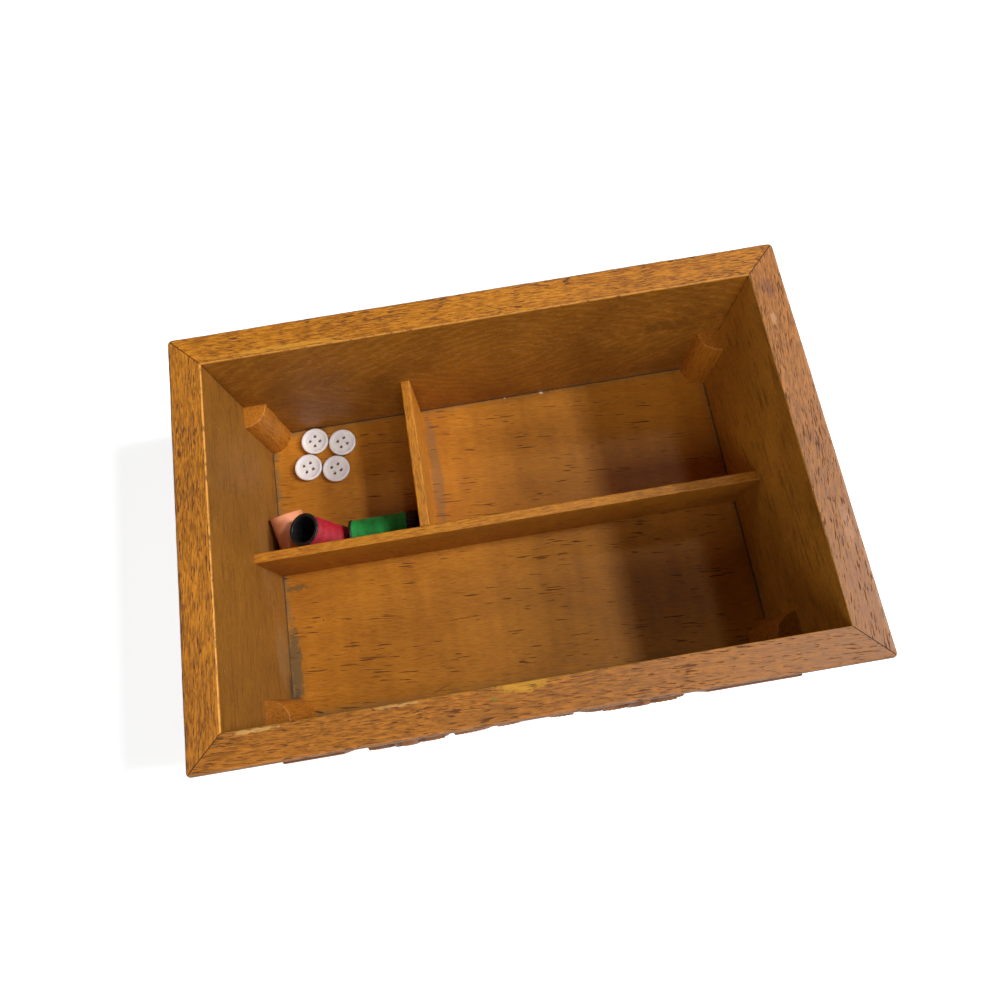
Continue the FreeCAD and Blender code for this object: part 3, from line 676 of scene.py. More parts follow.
            # Grime along the outer face and outer arris: partly real grime, partly painted shade that darkens the outer
            # faces.
            outer = graph.math("SUBTRACT", self.thickness, lines["Outward"])
            grime_and_outer_shade = graph.use(self.kit.worn, Distance=outer, Place=place, Width=0.9, Breaks=0.2, Grit=0.3)["Mask"]
            colour = graph.blend(graph.math("MULTIPLY", grime_and_outer_shade, 0.75), colour, shade(70, 54, 32))
            seam = graph.math("MULTIPLY", graph.ease(lines["Mitre"], 0.34, 0.1),
                              graph.ease(lines["Outward"], 0.1, 0.5))
            colour = graph.blend(graph.math("MULTIPLY", seam, 0.85), colour, shade(62, 28, 8))
            for stain in plan.stains:
                colour = stain.add(graph, self.kit, place, colour)
            low = graph.math("SUBTRACT", height, foot)
            crust = graph.use(self.kit.worn, Distance=low, Place=place, Width=2.4, Breaks=0.5, Grit=0.3)["Mask"]
            crust = graph.math("MULTIPLY", crust, inside)
            colour = graph.blend(graph.math("MULTIPLY", crust, 0.7), colour, shade(104, 92, 66))
            gap = graph.math("MULTIPLY", graph.ease(low, 0.7, 0.1), inside)
            colour = graph.blend(graph.math("MULTIPLY", gap, 0.7), colour, shade(38, 24, 12))
            return colour, pores, graph.math("ADD", rough, graph.math("MULTIPLY", crust, 0.3))

        return change

    def floor_marks(self, graph: Graph, place: Socket, wood: dict, colour: Socket, pores: Socket,
                    rough: Socket) -> tuple:
        """Add the floor panel's dust along the walls and dividers, and its small marks."""
        half = (self.length / 2 - self.thickness, self.width / 2 - self.thickness, 0.0)
        lines = graph.use(self.kit.lines, Place=place, Half=half)
        dust = graph.use(self.kit.worn, Distance=lines["Inward"], Place=place, Width=3.6, Breaks=0.42,
                         Grit=0.16)["Mask"]
        left = graph.ease(graph.split(place)[0], -40.0, -90.0)
        dust = graph.math("MULTIPLY", dust, graph.span(left, 0.35, 1.0))
        colour = graph.blend(graph.math("MULTIPLY", dust, 0.62), colour, shade(112, 96, 62))
        gap = graph.use(self.kit.worn, Distance=lines["Inward"], Place=place, Width=0.6, Breaks=0.2,
                        Grit=0.3)["Mask"]
        colour = graph.blend(graph.math("MULTIPLY", gap, 0.8), colour, shade(34, 20, 10))
        for stain in FLOOR_STAINS:
            colour = stain.add(graph, self.kit, place, colour)
        return colour, pores, graph.math("ADD", rough, graph.math("MULTIPLY", dust, 0.35))

    def build(self) -> None:
        """Build and dress the walls, and dress the floor panel."""
        for plan in self.plans:
            run, depth = (self.length, self.width) if plan.lengthways else (self.width, self.length)
            finish = WoodFinish(light=plan.light, dark=plan.dark, slant=(0.0, plan.slant, 0.0))
            if plan.rings:
                finish = replace(finish, stretch=2.0, ring_width=3.9, roundness=1.25, ripple=1.7, swirl=3.0)
            wood = finish.build(f"{plan.label}_wood", self.kit, plan.grain, plan.heart, self.aged(plan))
            seat(self.wall(plan.label, run, depth, plan.turn, plan.seed), "box", plan.label, wood)
        panel = WoodFinish(light=shade(206, 132, 26), dark=shade(156, 92, 8), ring_width=4.5, stretch=3.4, rows=0.6,
                           patches=0.6, figure=0.12, tone=0.5, pore_length=8.0, pore_pitch=0.6, pore_share=0.86,
                           slant=(0.0, 0.08, 0.0))
        dress(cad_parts["floor_panel"],
              panel.build("floor_wood", self.kit, Grain.ALONG_X, (-58.0, -46.0, 30.0), self.floor_marks))


@dataclass
class Fittings:
    """The two dividers and the four corner posts."""

    kit: EffectKit
    arris: float = 0.45
    post_arris: float = 0.5
    post_steps: int = 14
    top_steps: int = 5
    station_gap: float = 2.2

    def slat(self, label: str, along_x: bool, seed: float) -> bpy.types.Object:
        """Build a divider with worn top edges.

        Args:
            label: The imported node's name.
            along_x: True where it runs along X, otherwise along Y.
            seed: A number for its own wear.

        Returns:
            The new divider.
        """
        low, high = node_box(label)
        if not along_x:
            low, high = low[[1, 0, 2]], high[[1, 0, 2]]
        rings = []
        for place in np.linspace(low[0], high[0], int((high[0] - low[0]) / self.station_gap)):
            near = self.arris * (1.0 + 0.5 * drift(place, seed, 0.11))
            far = self.arris * (1.0 + 0.5 * drift(place, seed + 3, 0.14))
            worn = 0.08 * max(0.0, drift(place, seed + 6, 0.05))
            top = high[2] - worn
            section = [(low[1], low[2])] + arc((low[1] + near, top - near), near, 180.0)
            section += arc((high[1] - far, top - far), far, 90.0) + [(high[1], low[2])]
            rings.append([(place, side, up) if along_x else (side, place, up) for side, up in section])
        if not along_x:
            rings = [ring[::-1] for ring in rings]
        points, faces = loft(np.array(rings))
        return make_piece(f"{label}_slat", points, faces)

    def post(self, label: str, side_x: float, side_y: float, seed: float) -> bpy.types.Object:
        """Build a quarter-round post with a worn top and a few tool marks.

        Args:
            label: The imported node's name.
            side_x: 1 at the right wall, -1 at the left.
            side_y: 1 at the back wall, -1 at the front.
            seed: A number for its own wear.

        Returns:
            The new post.
        """
        low, high = node_box(label)
        corner = (high[0] if side_x > 0 else low[0], high[1] if side_y > 0 else low[1])
        radius = high[0] - low[0]
        arris = self.post_arris
        heights = [(low[2], 0.0)]
        heights += [(up, 0.0) for up in np.linspace(low[2], high[2] - arris, 8)[1:-1]]
        for step in range(self.top_steps + 1):
            turn = math.pi / 2 * step / self.top_steps
            heights.append((high[2] - arris * (1 - math.sin(turn)), arris * (1 - math.cos(turn))))
        rings = []
        for up, drawn_in in heights:
            ring = [(corner[0], corner[1], up)]
            for step in range(self.post_steps + 1):
                turn = math.pi / 2 * step / self.post_steps
                flat = 0.12 * noise.noise(Vector((4.0 * turn + seed, 0.02 * up, seed)))
                reach = radius - drawn_in - max(0.0, flat)
                ring.append((corner[0] - side_x * reach * math.cos(turn),
                             corner[1] - side_y * reach * math.sin(turn), up))
            rings.append(ring[::-1] if side_x * side_y > 0 else ring)
        points, faces = loft(np.array(rings)[:, ::-1])
        return make_piece(f"{label}_round", points, faces, smooth=50.0)

    def build(self) -> None:
        """Build and dress the dividers and the posts."""
        slat = WoodFinish(light=shade(206, 134, 28), dark=shade(140, 78, 8), pore_share=0.7)
        for label, along_x, grain, heart in (("long_divider", True, Grain.ALONG_X, (0.0, 40.0, 10.0)),
                                             ("cross_divider", False, Grain.ALONG_Y, (0.0, 70.0, 16.0))):
            wood = slat.build(f"{label}_wood", self.kit, grain, heart)
            seat(self.slat(label, along_x, heart[1]), "box", label, wood)
        post = WoodFinish(light=shade(196, 122, 24), dark=shade(140, 78, 8), pore_share=0.7, pore_length=7.0)
        for number, (corner, side_x, side_y) in enumerate((("front_left", -1, -1), ("front_right", 1, -1),
                                                           ("back_right", 1, 1), ("back_left", -1, 1))):
            node = f"post_{corner}"
            wood = post.build(f"{node}_wood", self.kit, Grain.UPRIGHT, (0.0, 60.0, 50.0))
            seat(self.post(node, side_x, side_y, 3.0 * number), "box", node, wood)


class Leaf:
    """One pointed leaf or petal of the carving, seen square on."""

    def __init__(self, root: tuple[float, float], bearing: float, length: float, width: float, rise: float,
                 hollow: float, veins: float) -> None:
        """Place a leaf.

        Args:
            root: Where it starts, in millimetres along X and Z.
            bearing: Its direction in degrees from +X towards +Z.
            length: From root to tip.
            width: At its widest.
            rise: Its height above the wall's face.
            hollow: How far its middle is cut below its edges, as a share of the rise.
            veins: Depth of its side veins, in millimetres.
        """
        self.root, self.length, self.width, self.rise = root, length, width, rise
        self.hollow, self.veins = hollow, veins
        self.way = (math.cos(math.radians(bearing)), math.sin(math.radians(bearing)))

    def height(self, across: np.ndarray, up: np.ndarray) -> np.ndarray:
        """Give the leaf's height over every place of a grid, 0 outside it."""
        x, z = across - self.root[0], up - self.root[1]
        along = x * self.way[0] + z * self.way[1]
        aside = z * self.way[0] - x * self.way[1]
        radius = (self.length ** 2 / 4 + self.width ** 2 / 4) / self.width
        reach = np.sqrt(np.maximum(radius ** 2 - (along - self.length / 2) ** 2, 0.0)) - radius + self.width / 2
        inside = reach - np.abs(aside)
        share = np.clip(np.abs(aside) / np.maximum(reach, 1e-6), 0.0, 1.0)
        edge = np.clip(inside / 0.75, 0.0, 1.0)
        edge = edge * (2.0 - edge)
        tip = np.clip(along / self.length, 0.0, 1.0)
        form = 1.0 - self.hollow * (1.0 - share ** 1.6) * (1.0 - 0.55 * tip)
        rib = 0.16 * np.exp(-(aside / 0.38) ** 2) * np.clip(1.15 - tip, 0.0, 1.0)
        side = self.veins * np.maximum(0.0, np.sin((along - 0.8 * np.abs(aside)) * math.tau / 2.1)) ** 3
        top = self.rise * form + rib - side * np.clip((share - 0.12) * 4, 0.0, 1.0)
        return np.where(inside > 0.0, np.maximum(top, 0.3) * edge, 0.0)


@dataclass
class Carving:
    """The carved piece on the front wall: flowers and leaves on a sunk, stippled ground between plain blocks."""

    kit: EffectKit
    grid_step: float = 0.36
    ground: float = 0.6
    block: float = 1.3
    left_block: float = 19.0
    right_block: float = 30.0
    petal_width: float = 8.2
    petal_rise: float = 2.6
    boss_radius: float = 4.8
    boss_rise: float = 3.2
    leaf_rise: float = 2.0
    leaf_slimness: float = 0.36
    stem_radius: float = 1.6
    left_flower: tuple[float, float, int] = (16.5, 15.0, 6)
    right_flower: tuple[float, float, int] = (19.0, 17.6, 8)
    leaf_pairs: tuple[tuple[float, float, float], ...] = (
        (34.5, 52.0, 12.6), (45.0, 128.0, 20.0), (56.0, 140.0, 13.0), (62.5, 50.0, 14.7), (73.5, 58.0, 15.5))

    def flower(self, centre: tuple[float, float], reach: float, petals: int) -> list[Leaf]:
        """Give a flower's petals."""
        return [Leaf(centre, 90.0 + 360.0 * step / petals, reach, self.petal_width, self.petal_rise, 0.3, 0.1)
                for step in range(petals)]

    def boss(self, centre: tuple[float, float], across: np.ndarray, up: np.ndarray) -> np.ndarray:
        """Give the height of a flower's domed, seeded middle."""
        x, z = across - centre[0], up - centre[1]
        away = np.hypot(x, z)
        dome = self.boss_rise * np.sqrt(np.clip(1.0 - (away / self.boss_radius) ** 4, 0.0, 1.0))
        seeds = 0.22 * np.abs(np.sin((x + z) * 2.4) * np.sin((x - z) * 2.4)) - 0.22
        return np.where(away < self.boss_radius, np.maximum(dome + seeds, 0.0), 0.0)

    def relief(self) -> bpy.types.Object:
        """Build the carving as one closed skin over a fine grid."""
        low, high = node_box("front_relief")
        back = high[1]
        count_x = int((high[0] - low[0]) / self.grid_step) + 1
        count_z = int((high[2] - low[2]) / self.grid_step) + 1
        across, up = np.meshgrid(np.linspace(low[0], high[0], count_x), np.linspace(low[2], high[2], count_z))
        field_left, field_right = low[0] + self.left_block, high[0] - self.right_block
        middle = (low[2] + high[2]) / 2
        random = np.random.default_rng(7)
        height = self.ground - 0.1 * random.random(across.shape)
        blocks = np.maximum(field_left - across, across - field_right)
        height = np.maximum(height, self.block * np.clip(0.5 + blocks / 0.5, 0.0, 1.0))
        left = (field_left + self.left_flower[0], middle)
        right = (field_right - self.right_flower[0], middle)
        leaves = self.flower(left, *self.left_flower[1:]) + self.flower(right, *self.right_flower[1:])
        for place, bearing, length in self.leaf_pairs:
            for side in (bearing, -bearing):
                leaves.append(Leaf((field_left + place, middle), side, length, self.leaf_slimness * length,
                                   self.leaf_rise, 0.34, 0.14))
        stem = np.sqrt(np.maximum(self.stem_radius ** 2 - (up - middle) ** 2, 0.0))
        height = np.maximum(height, np.where((across > left[0]) & (across < right[0]), stem, 0.0))
        shadow = np.zeros_like(height)
        for leaf in leaves:
            own = leaf.height(across, up)
            shadow = np.where(own > shadow, own, np.where((own > 0) & (shadow - own < 0.5), shadow - 0.25, shadow))
        height = np.maximum(height, shadow)
        for centre in (left, right):
            height = np.where(np.hypot(across - centre[0], up - centre[1]) < self.boss_radius + 0.5,
                              np.minimum(height, 1.7), height)
            height = np.maximum(height, self.boss(centre, across, up))
        border = np.minimum(np.minimum(across - low[0], high[0] - across), np.minimum(up - low[2], high[2] - up))
        height = height - 0.3 * np.clip(1.0 - border / 0.5, 0.0, 1.0) ** 2
        front = np.stack([across, back - height, up], -1).reshape(-1, 3)
        number = np.arange(count_x * count_z).reshape(count_z, count_x)
        faces = np.stack([number[:-1, :-1], number[:-1, 1:], number[1:, 1:], number[1:, :-1]], -1).reshape(-1, 4)
        ring = np.concatenate([number[0, :-1], number[:-1, -1], number[-1, :0:-1], number[:0:-1, 0]])
        rear = front[ring].copy()
        rear[:, 1] = back
        first = len(front)
        skirt = [(int(ring[(k + 1) % len(ring)]), int(ring[k]), first + k, first + (k + 1) % len(ring))
                 for k in range(len(ring))]
        faces = [tuple(int(n) for n in face) for face in faces] + skirt + [tuple(range(first, first + len(ring)))[::-1]]
        return make_piece("carved_flowers", np.concatenate([front, rear]), faces, smooth=42.0, even=False)

    def build(self) -> None:
        """Build and dress the carving."""
        # The carving's colours are darker than the walls': partly a darker stain, partly painted shade on the carved
        # front.
        finish = WoodFinish(light=shade(140, 84, 24), dark=shade(92, 50, 8), pore_share=0.6)
        wood = finish.build("carved_wood", self.kit, Grain.ALONG_X, (0.0, -50.0, 70.0), self.shaded)
        seat(self.relief(), "box", "front_relief", wood)

    def shaded(self, graph: Graph, place: Socket, wood: dict, colour: Socket, pores: Socket, rough: Socket) -> tuple:
        """Darken the sunk ground: stain and dust gather there, and it holds painted shade of the recesses."""
        back = node_box("front_relief")[1][1]
        rise = graph.math("SUBTRACT", back, graph.split(place)[1])
        sunk = graph.ease(rise, 1.3, 0.5)
        colour = graph.blend(graph.math("MULTIPLY", sunk, 0.72), colour, shade(70, 38, 14))
        return colour, pores, graph.math("ADD", rough, graph.math("MULTIPLY", sunk, 0.2))


def lathe(profile: list[tuple[float, float]], steps: int,
          waves: Callable[[int, float], float] | None = None) -> tuple[np.ndarray, list[tuple[int, ...]]]:
    """Turn a closed profile round Z.

    Args:
        profile: Radii and heights, in millimetres, running anticlockwise.
        steps: How many steps go round.
        waves: Gives how much is added to the radius of a profile point at a turn in radians.

    Returns:
        The points and the faces.
    """
    rings = []
    for step in range(steps):
        turn = math.tau * step / steps
        ring = []
        for number, (radius, up) in enumerate(profile):
            reach = radius + (waves(number, turn) if waves else 0.0)
            ring.append((reach * math.cos(turn), reach * math.sin(turn), up))
        rings.append(ring)
    return loft(np.array(rings), closed=True)


def rounded(corners: list[tuple[float, float]], radius: float, steps: int = 3) -> list[tuple[float, float]]:
    """Round the corners of a closed outline.

    Args:
        corners: The outline's corners.
        radius: How far from a corner its rounding starts, at most.
        steps: How many pieces each rounding has.

    Returns:
        The rounded outline.
    """
    outline = []
    for number, corner in enumerate(corners):
        here = Vector(corner)
        before, after = Vector(corners[number - 1]), Vector(corners[(number + 1) % len(corners)])
        start = here + (before - here).normalized() * min(radius, (before - here).length * 0.45)
        end = here + (after - here).normalized() * min(radius, (after - here).length * 0.45)
        for step in range(steps + 1):
            share = step / steps
            spot = start.lerp(here, share).lerp(here.lerp(end, share), share)
            outline.append((spot.x, spot.y))
    return outline


@dataclass(frozen=True)
class PearlFinish:
    """A pearly plastic button."""

    milk: Colour = shade(244, 242, 236)
    lavender: Colour = shade(230, 226, 230)

    def build(self, name: str) -> bpy.types.Material:
        """Make the button material."""
        material = bpy.data.materials.new(name)
        material.use_nodes = True
        graph = Graph(material.node_tree)
        shader = material.node_tree.nodes["Principled BSDF"]
        place = graph.vector("MULTIPLY", graph.add("TexCoord").outputs["Object"], (1 / MM, 1 / MM, 1 / MM))
        cloud = graph.ease(graph.noise(place, 0.28, 3.0, 0.6), 0.3, 0.7)
        colour = graph.blend(cloud, self.milk, self.lavender)
        graph.feed(shader.inputs["Base Color"], colour)
        graph.feed(shader.inputs["Roughness"], graph.span(cloud, 0.26, 0.4))
        shader.inputs["Subsurface Weight"].default_value = 0.12
        shader.inputs["Subsurface Radius"].default_value = (0.001, 0.0008, 0.0008)
        shader.inputs["Subsurface Scale"].default_value = 1.0
        shader.inputs["Coat Weight"].default_value = 0.3
        shader.inputs["Coat Roughness"].default_value = 0.15
        return material


@dataclass
class Buttons:
    """Four four-hole shirt buttons."""

    rim_width: float = 1.1
    dish_depth: float = 0.45
    hole_radius: float = 0.72
    hole_spacing: float = 2.95
    steps: int = 72
    turns: tuple[float, ...] = (40.0, 24.0, 19.0, 21.0)

    def blank(self, radius: float, thick: float) -> bpy.types.Mesh:
        """Turn a button and bore its holes.

        Args:
            radius: The button's outer radius, in millimetres.
            thick: Its thickness, in millimetres.

        Returns:
            The finished mesh, standing on the origin.
        """
        floor_up = thick - self.dish_depth
        dish = radius - self.rim_width
        profile = [(0.0, 0.25), (radius * 0.55, 0.12), (radius * 0.8, 0.0), (radius - 0.5, 0.25), (radius, thick * 0.6),
                   (radius - 0.12, thick - 0.18), (radius - 0.45, thick), (dish + 0.25, thick - 0.04),
                   (dish - 0.35, floor_up + 0.06), (dish - 0.9, floor_up), (radius * 0.35, floor_up + 0.12),
                   (0.0, floor_up + 0.16)]
        rings = []
        for step in range(self.steps):
            turn = math.tau * step / self.steps
            rings.append([(r * math.cos(turn), r * math.sin(turn), up) for r, up in profile[1:-1]])
        rings = np.array(rings)
        count, around = rings.shape[:2]
        points = np.concatenate([rings.reshape(-1, 3), [(0, 0, profile[0][1]), (0, 0, profile[-1][1])]])
        faces = []
        for step in range(count):
            here, there = step * around, (step + 1) % count * around
            faces.append((here, count * around, there))
            for spot in range(around - 1):
                faces.append((here + spot, there + spot, there + spot + 1, here + spot + 1))
            faces.append((here + around - 1, there + around - 1, count * around + 1))
        body = make_piece("button_blank", points, faces, even=False)
        drills = []
        for side_x in (-0.5, 0.5):
            for side_y in (-0.5, 0.5):
                rings = [[(side_x * self.hole_spacing + self.hole_radius * math.cos(math.tau * k / 28),
                           side_y * self.hole_spacing + self.hole_radius * math.sin(math.tau * k / 28), up)
                          for k in range(28)] for up in (-1.0, thick + 1.0)]
                points, faces = loft(np.array(rings))
                drills.append(make_piece("drill", points, faces, even=False))
        for drill in drills:
            bore = body.modifiers.new("bore", "BOOLEAN")
            bore.operation, bore.object, bore.solver = "DIFFERENCE", drill, "EXACT"
        edge = body.modifiers.new("eased", "BEVEL")
        edge.width, edge.segments, edge.limit_method, edge.angle_limit = 0.14 * MM, 3, "ANGLE", math.radians(50)
        bpy.context.view_layer.update()
        mesh = bpy.data.meshes.new_from_object(body.evaluated_get(bpy.context.evaluated_depsgraph_get()))
        for item in [body] + drills:
            bpy.data.objects.remove(item)
        mesh.polygons.foreach_set("use_smooth", [True] * len(mesh.polygons))
        mesh.set_sharp_from_angle(angle=math.radians(50.0))
        return mesh

    def build(self) -> None:
        """Build the buttons and lay them in their places."""
        for number, turn in enumerate(self.turns, start=1):
            node = f"button_{number}"
            low, high = node_box(node)
            mesh = self.blank((high[0] - low[0]) / 2, high[2] - low[2])
            piece = bpy.data.objects.new(f"{node}_pearl", mesh)
            bpy.context.scene.collection.objects.link(piece)
            centre = Vector((low + high) / 2)
            piece.matrix_world = (Matrix.Translation((centre.x * MM, centre.y * MM, low[2] * MM))
                                  @ Matrix.Rotation(math.radians(turn), 4, "Z"))
            seat(piece, node, node, PearlFinish().build(f"{node}_pearl"))


@dataclass(frozen=True)
class ThreadFinish:
    """Wound sewing thread: painted light on the ridges, painted shade in the gaps between turns, and a soft lengthways
    sheen.
    """

    light: Colour
    dark: Colour
    fleck: Colour
    fleck_share: float = 0.25
    pitch: float = 0.36
    roughness: float = 0.5
    sheen: float = 0.12

    def build(self, name: str, radius: float) -> bpy.types.Material:
        """Make the thread's material.

        Args:
            name: The material's name.
            radius: The winding's outer radius, in millimetres.

        Returns:
            The material.
        """
        material = bpy.data.materials.new(name)
        material.use_nodes = True
        graph = Graph(material.node_tree)
        shader = material.node_tree.nodes["Principled BSDF"]
        place = graph.vector("MULTIPLY", graph.add("TexCoord").outputs["Object"], (1 / MM, 1 / MM, 1 / MM))
        x, y, up = graph.split(place)
        away = graph.math("SQRT", graph.math("ADD", graph.math("MULTIPLY", x, x), graph.math("MULTIPLY", y, y)))
        crest = graph.ease(away, radius - 0.2, radius - 0.02)
        patch = graph.noise(graph.vector("MULTIPLY", place, (0.35, 0.35, 0.9)), 1.0, 2.0)
        turn = graph.math("MULTIPLY", graph.math("ARCTAN2", y, x), radius)
        strand = graph.add("CombineXYZ", {0: graph.math("MULTIPLY", turn, 1.3), 1: graph.math("MULTIPLY", up, 7.0)})
        fibre = graph.noise(strand.outputs[0], 1.0, 2.0)
        # Painted light and shade: the crests of the turns take the light colour and the gaps between them the dark
        # colour.
        colour = graph.blend(graph.span(graph.math("MULTIPLY", crest, graph.span(patch, 0.6, 1.15)), 0.0, 1.0),
                             self.dark, self.light)
        flecks = graph.math("MULTIPLY", graph.ease(fibre, 0.55, 0.75), self.fleck_share)
        colour = graph.blend(flecks, colour, self.fleck)
        twist = graph.math("SINE", graph.math("ADD", graph.math("MULTIPLY", turn, 9.0), graph.math("MULTIPLY", up, 16.0)))
        bump = graph.add("Bump", {"Strength": 0.5, "Distance": 0.05 * MM,
                                  "Height": graph.math("ADD", twist, fibre)})
        graph.feed(shader.inputs["Base Color"], colour)
        graph.feed(shader.inputs["Roughness"], graph.span(fibre, self.roughness, self.roughness + 0.18))
        graph.feed(shader.inputs["Normal"], bump.outputs[0])
        shader.inputs["Sheen Weight"].default_value = self.sheen
        shader.inputs["Sheen Roughness"].default_value = 0.4
        return material


@dataclass(frozen=True)
class SpoolFinish:
    """Moulded plastic or wound paper of a spool's tube."""

    colour: Colour
    worn: Colour
    roughness: float = 0.3
    edge_radius: float = 6.2

    def build(self, name: str) -> bpy.types.Material:
        """Make the tube's material."""
        material = bpy.data.materials.new(name)
        material.use_nodes = True
        graph = Graph(material.node_tree)
        shader = material.node_tree.nodes["Principled BSDF"]
        place = graph.vector("MULTIPLY", graph.add("TexCoord").outputs["Object"], (1 / MM, 1 / MM, 1 / MM))
        x, y, _ = graph.split(place)
        away = graph.math("SQRT", graph.math("ADD", graph.math("MULTIPLY", x, x), graph.math("MULTIPLY", y, y)))
        cloud = graph.noise(place, 0.8, 4.0, 0.65)
        rub = graph.math("MULTIPLY", graph.ease(away, self.edge_radius - 0.25, self.edge_radius + 0.1),
                         graph.ease(cloud, 0.35, 0.65))
        colour = graph.blend(graph.math("MULTIPLY", rub, 0.8), self.colour, self.worn)
        colour = graph.blend(graph.math("MULTIPLY", graph.ease(cloud, 0.45, 0.8), 0.25), colour, self.worn)
        bump = graph.add("Bump", {"Strength": 0.3, "Distance": 0.04 * MM, "Height": graph.noise(place, 4.0)})
        graph.feed(shader.inputs["Base Color"], colour)
        graph.feed(shader.inputs["Roughness"], graph.span(cloud, self.roughness, self.roughness + 0.2))
        graph.feed(shader.inputs["Normal"], bump.outputs[0])
        return material


@dataclass
class Spool:
    """One spool of thread: where it lies, its tube and its winding."""

    name: str
    bearing: float
    rise: float
    length: float
    thread: ThreadFinish
    tube: SpoolFinish
    cap_length: float = 0.9
    flange: float = 6.35
    bore: float = 5.1
    tube_radius: float = 5.7
    winding: float = 6.2
    shelf: float = 0.9
    ribs: int = 0
    steps: int = 96
    tube_slot: str = "spool_plastic"

    def pose(self) -> Matrix:
        """Give the turn and place that bring the spool's own Z axis to where it lies."""
        low, high = node_box(f"{self.name}_spool_tube")
        flat = math.cos(math.radians(self.rise))
        way = Vector((flat * math.cos(math.radians(self.bearing)), flat * math.sin(math.radians(self.bearing)),
                      math.sin(math.radians(self.rise))))
        foot = Vector((low + high) / 2) - way * (self.length / 2)
        return Matrix.Translation(foot * MM) @ way.to_track_quat("Z", "Y").to_matrix().to_4x4()

    def shell(self) -> bpy.types.Object:
        """Build the tube with its two flanges, ribbed where it has a cap."""
        top = self.length - self.cap_length
        corners = [(self.bore, 0.0), (self.flange, 0.0), (self.flange, self.shelf), (self.tube_radius, self.shelf),
                   (self.tube_radius, top), (self.flange, top), (self.flange, self.length), (self.bore, self.length)]
        profile = rounded(corners, 0.28)
        steps = self.steps
        waves = None
        if self.ribs:
            steps = self.ribs * 8
            ribbed = [radius > self.tube_radius + 0.2 and up > top + 0.5 for radius, up in profile]

            def waves(number: int, turn: float) -> float:
                """Cut grooves between the ribs of the cap."""
                groove = max(0.0, math.cos(turn * self.ribs)) ** 0.6
                return -0.42 * groove if ribbed[number] else 0.0

        points, faces = lathe(profile, steps, waves)
        return make_piece(f"{self.name}_spool", points, faces, smooth=48.0, even=False)

    def wound(self) -> bpy.types.Object:
        """Build the winding, with a ridge for every turn of thread."""
        pitch = self.thread.pitch
        foot, head = self.shelf, self.length - self.cap_length
        across = int((head - foot) / pitch * 6)
        rings = []
        shoulder = 0.35
        for step in range(self.steps):
            turn = math.tau * step / self.steps
            ring = [(self.tube_radius + 0.02, foot + 0.02)]
            for number in range(across + 1):
                up = foot + 0.02 + (head - foot - 0.04) * number / across
                stray = 0.35 * noise.noise(Vector((1.3 * math.cos(turn), 1.3 * math.sin(turn), 0.9 * up)))
                ridge = abs(math.sin(math.pi * (up / pitch - turn / math.tau + stray)))
                end = min(up - foot, head - up)
                drop = shoulder - math.sqrt(max(0.0, shoulder ** 2 - max(0.0, shoulder - end) ** 2))
                lump = 0.05 * noise.noise(Vector((math.cos(turn), math.sin(turn), 0.45 * up + 3.0)))
                ring.append((self.winding - 0.06 - 0.3 * pitch * (1.0 - ridge) - 0.6 * drop + lump, up))
            ring.append((self.tube_radius + 0.02, head - 0.02))
            rings.append([(radius * math.cos(turn), radius * math.sin(turn), up) for radius, up in ring])
        points, faces = loft(np.array(rings), closed=True)
        return make_piece(f"{self.name}_winding", points, faces, smooth=80.0, even=False)

    def build(self) -> None:
        """Build the spool and lay it in its place."""
        pose = self.pose()
        body = f"{self.name}_spool"
        shell, wound = self.shell(), self.wound()
        for piece, node, slot, material in (
                (shell, f"{self.name}_spool_tube", self.tube_slot, self.tube.build(f"{self.name}_tube")),
                (wound, f"{self.name}_thread", f"thread_{self.name}",
                 self.thread.build(f"{self.name}_thread", self.winding))):
            piece.matrix_world = pose
            seat(piece, body, node, material)


BLACK_PLASTIC = SpoolFinish(colour=shade(18, 17, 19), worn=shade(64, 62, 66))
SPOOLS = (
    Spool("green", 0.0, 0.0, 27.0,
          ThreadFinish(light=shade(24, 204, 84), dark=shade(4, 106, 34), fleck=shade(112, 232, 140)),
          SpoolFinish(colour=shade(16, 14, 16), worn=shade(72, 34, 40)), cap_length=4.0, ribs=24),
    Spool("red", 170.5, 69.21, 23.0,
          ThreadFinish(light=shade(212, 10, 44), dark=shade(112, 0, 16), fleck=shade(240, 110, 130)), BLACK_PLASTIC),
    Spool("peach", 100.4, 15.7, 17.2,
          ThreadFinish(light=shade(244, 170, 126), dark=shade(206, 116, 70), fleck=shade(255, 206, 176), pitch=0.25,
                       roughness=0.3),
          SpoolFinish(colour=shade(196, 168, 128), worn=shade(222, 200, 164), roughness=0.7, edge_radius=5.4),
          cap_length=0.0, shelf=0.0, flange=5.3, bore=4.7, tube_radius=5.3, winding=6.4, tube_slot="spool_paper"),
)


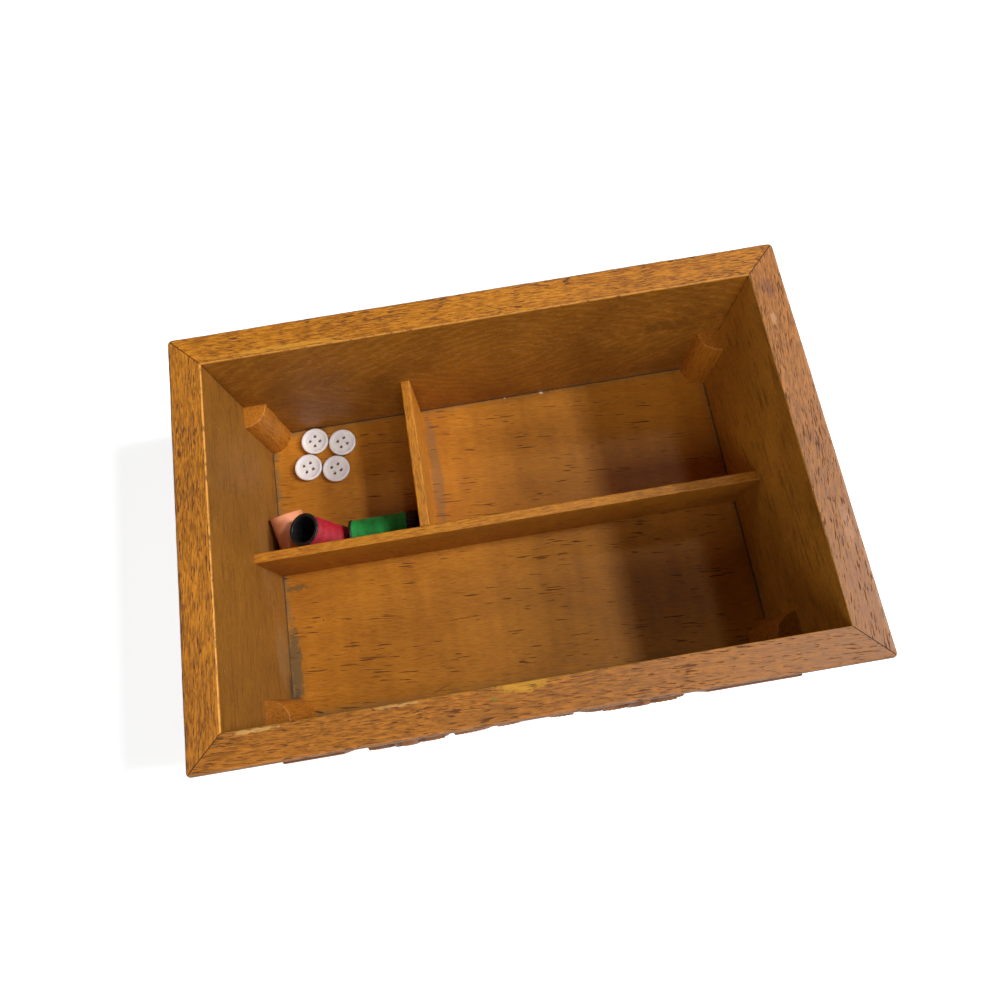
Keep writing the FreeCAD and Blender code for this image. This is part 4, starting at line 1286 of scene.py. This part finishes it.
@dataclass(frozen=True)
class SteelPins:
    """The floor's panel pins, of dull bright steel with a little rust."""

    steel: Colour = shade(150, 148, 144)
    rust: Colour = shade(104, 66, 38)

    def build(self) -> None:
        """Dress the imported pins."""
        material = bpy.data.materials.new("pin_steel")
        material.use_nodes = True
        graph = Graph(material.node_tree)
        shader = material.node_tree.nodes["Principled BSDF"]
        place = graph.vector("MULTIPLY", graph.add("TexCoord").outputs["Object"], (1 / MM, 1 / MM, 1 / MM))
        bloom = graph.ease(graph.noise(place, 1.1, 4.0, 0.7), 0.48, 0.68)
        graph.feed(shader.inputs["Base Color"], graph.blend(bloom, self.steel, self.rust))
        graph.feed(shader.inputs["Metallic"], graph.span(bloom, 1.0, 0.1))
        graph.feed(shader.inputs["Roughness"], graph.span(bloom, 0.34, 0.8))
        bump = graph.add("Bump", {"Strength": 0.4, "Distance": 0.05 * MM, "Height": graph.noise(place, 3.0)})
        graph.feed(shader.inputs["Normal"], bump.outputs[0])
        dress(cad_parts["floor_pins"], material)


@dataclass
class Studio:
    """The pale floor, the soft lights and the camera."""

    floor_size: float = 6.0
    light_distance: float = 3.2
    fill: float = 0.004
    backdrop: float = 0.92
    lens: float = 24.979
    camera_place: tuple[float, float, float] = (-5.040, -60.213, 281.334)
    camera_turn: tuple[float, float, float] = (0.2617, 0.0302, -0.1627)

    def lamp(self, name: str, towards: tuple[float, float, float], spread: float, power: float) -> None:
        """Hang a square soft light.

        Args:
            name: The light's name.
            towards: Direction from the box to the light.
            spread: Its side, as a share of its distance.
            power: In watts, for a light at 1.6 m.
        """
        light = bpy.data.lights.new(name, "AREA")
        light.shape = "SQUARE"
        light.size = spread * self.light_distance
        light.energy = power * (self.light_distance / 1.6) ** 2
        lamp = bpy.data.objects.new(name, light)
        way = Vector(towards).normalized()
        lamp.location = way * self.light_distance
        lamp.rotation_euler = way.to_track_quat("Z", "Y").to_euler()
        bpy.context.scene.collection.objects.link(lamp)

    def build(self) -> None:
        """Set the stage."""
        mesh = bpy.data.meshes.new("studio_floor")
        reach = self.floor_size / 2
        mesh.from_pydata([(-reach, -reach, 0), (reach, -reach, 0), (reach, reach, 0), (-reach, reach, 0)], [],
                         [(0, 1, 2, 3)])
        floor = bpy.data.objects.new("studio_floor", mesh)
        bpy.context.scene.collection.objects.link(floor)
        paint = bpy.data.materials.new("studio_floor")
        paint.use_nodes = True
        shader = paint.node_tree.nodes["Principled BSDF"]
        shader.inputs["Base Color"].default_value = (0.9, 0.9, 0.9, 1.0)
        shader.inputs["Roughness"].default_value = 0.9
        shader.inputs["Emission Color"].default_value = (1.0, 1.0, 1.0, 1.0)
        shader.inputs["Emission Strength"].default_value = 0.45
        dress(floor, paint)
        self.lamp("key_light", (0.80, 0.02, 1.0), 0.1, 9.7)
        self.lamp("steep_light", (0.28, 0.4, 1.0), 0.08, 1.5)
        self.lamp("low_light", (1.37, -0.05, 1.0), 0.125, 13.3)
        self.lamp("front_light", (0.1, -1.0, 1.2), 0.5, 7.4)
        self.lamp("level_light", (0.0, -2.2, 1.0), 0.5, 8.9)
        self.lamp("left_light", (-1.8, -1.1, 1.0), 0.5, 3.6)
        self.lamp("back_left_light", (-1.8, 1.1, 1.0), 0.5, 2.7)
        self.lamp("right_light", (2.2, 0.0, 1.0), 0.375, 4.9)
        self.lamp("back_light", (0.4, 1.0, 0.12), 0.5, 3.0)
        world = bpy.data.worlds.new("studio")
        world.use_nodes = True
        sky = Graph(world.node_tree)
        seen = sky.add("LightPath").outputs["Is Camera Ray"]
        background = world.node_tree.nodes["Background"]
        background.inputs[0].default_value = (1.0, 1.0, 1.0, 1.0)
        sky.feed(background.inputs[1], sky.span(seen, self.fill, self.backdrop))
        scene = bpy.context.scene
        scene.world = world
        scene.view_settings.view_transform = "Standard"
        view = bpy.data.cameras.new("camera")
        view.lens = self.lens
        view.sensor_width = 36.0
        view.clip_start = 0.01
        camera = bpy.data.objects.new("camera", view)
        camera.location = Vector(self.camera_place) * MM
        camera.rotation_euler = self.camera_turn
        scene.collection.objects.link(camera)
        scene.camera = camera


def main() -> None:
    """Build the sewing box's looks and its studio."""
    logging.basicConfig(level=logging.INFO, format="%(name)s: %(message)s")
    kit = EffectKit()
    Studio().build()
    Carcass(kit).build()
    Fittings(kit).build()
    Carving(kit).build()
    Buttons().build()
    for spool in SPOOLS:
        spool.build()
    SteelPins().build()


if __name__ == "__main__":
    main()
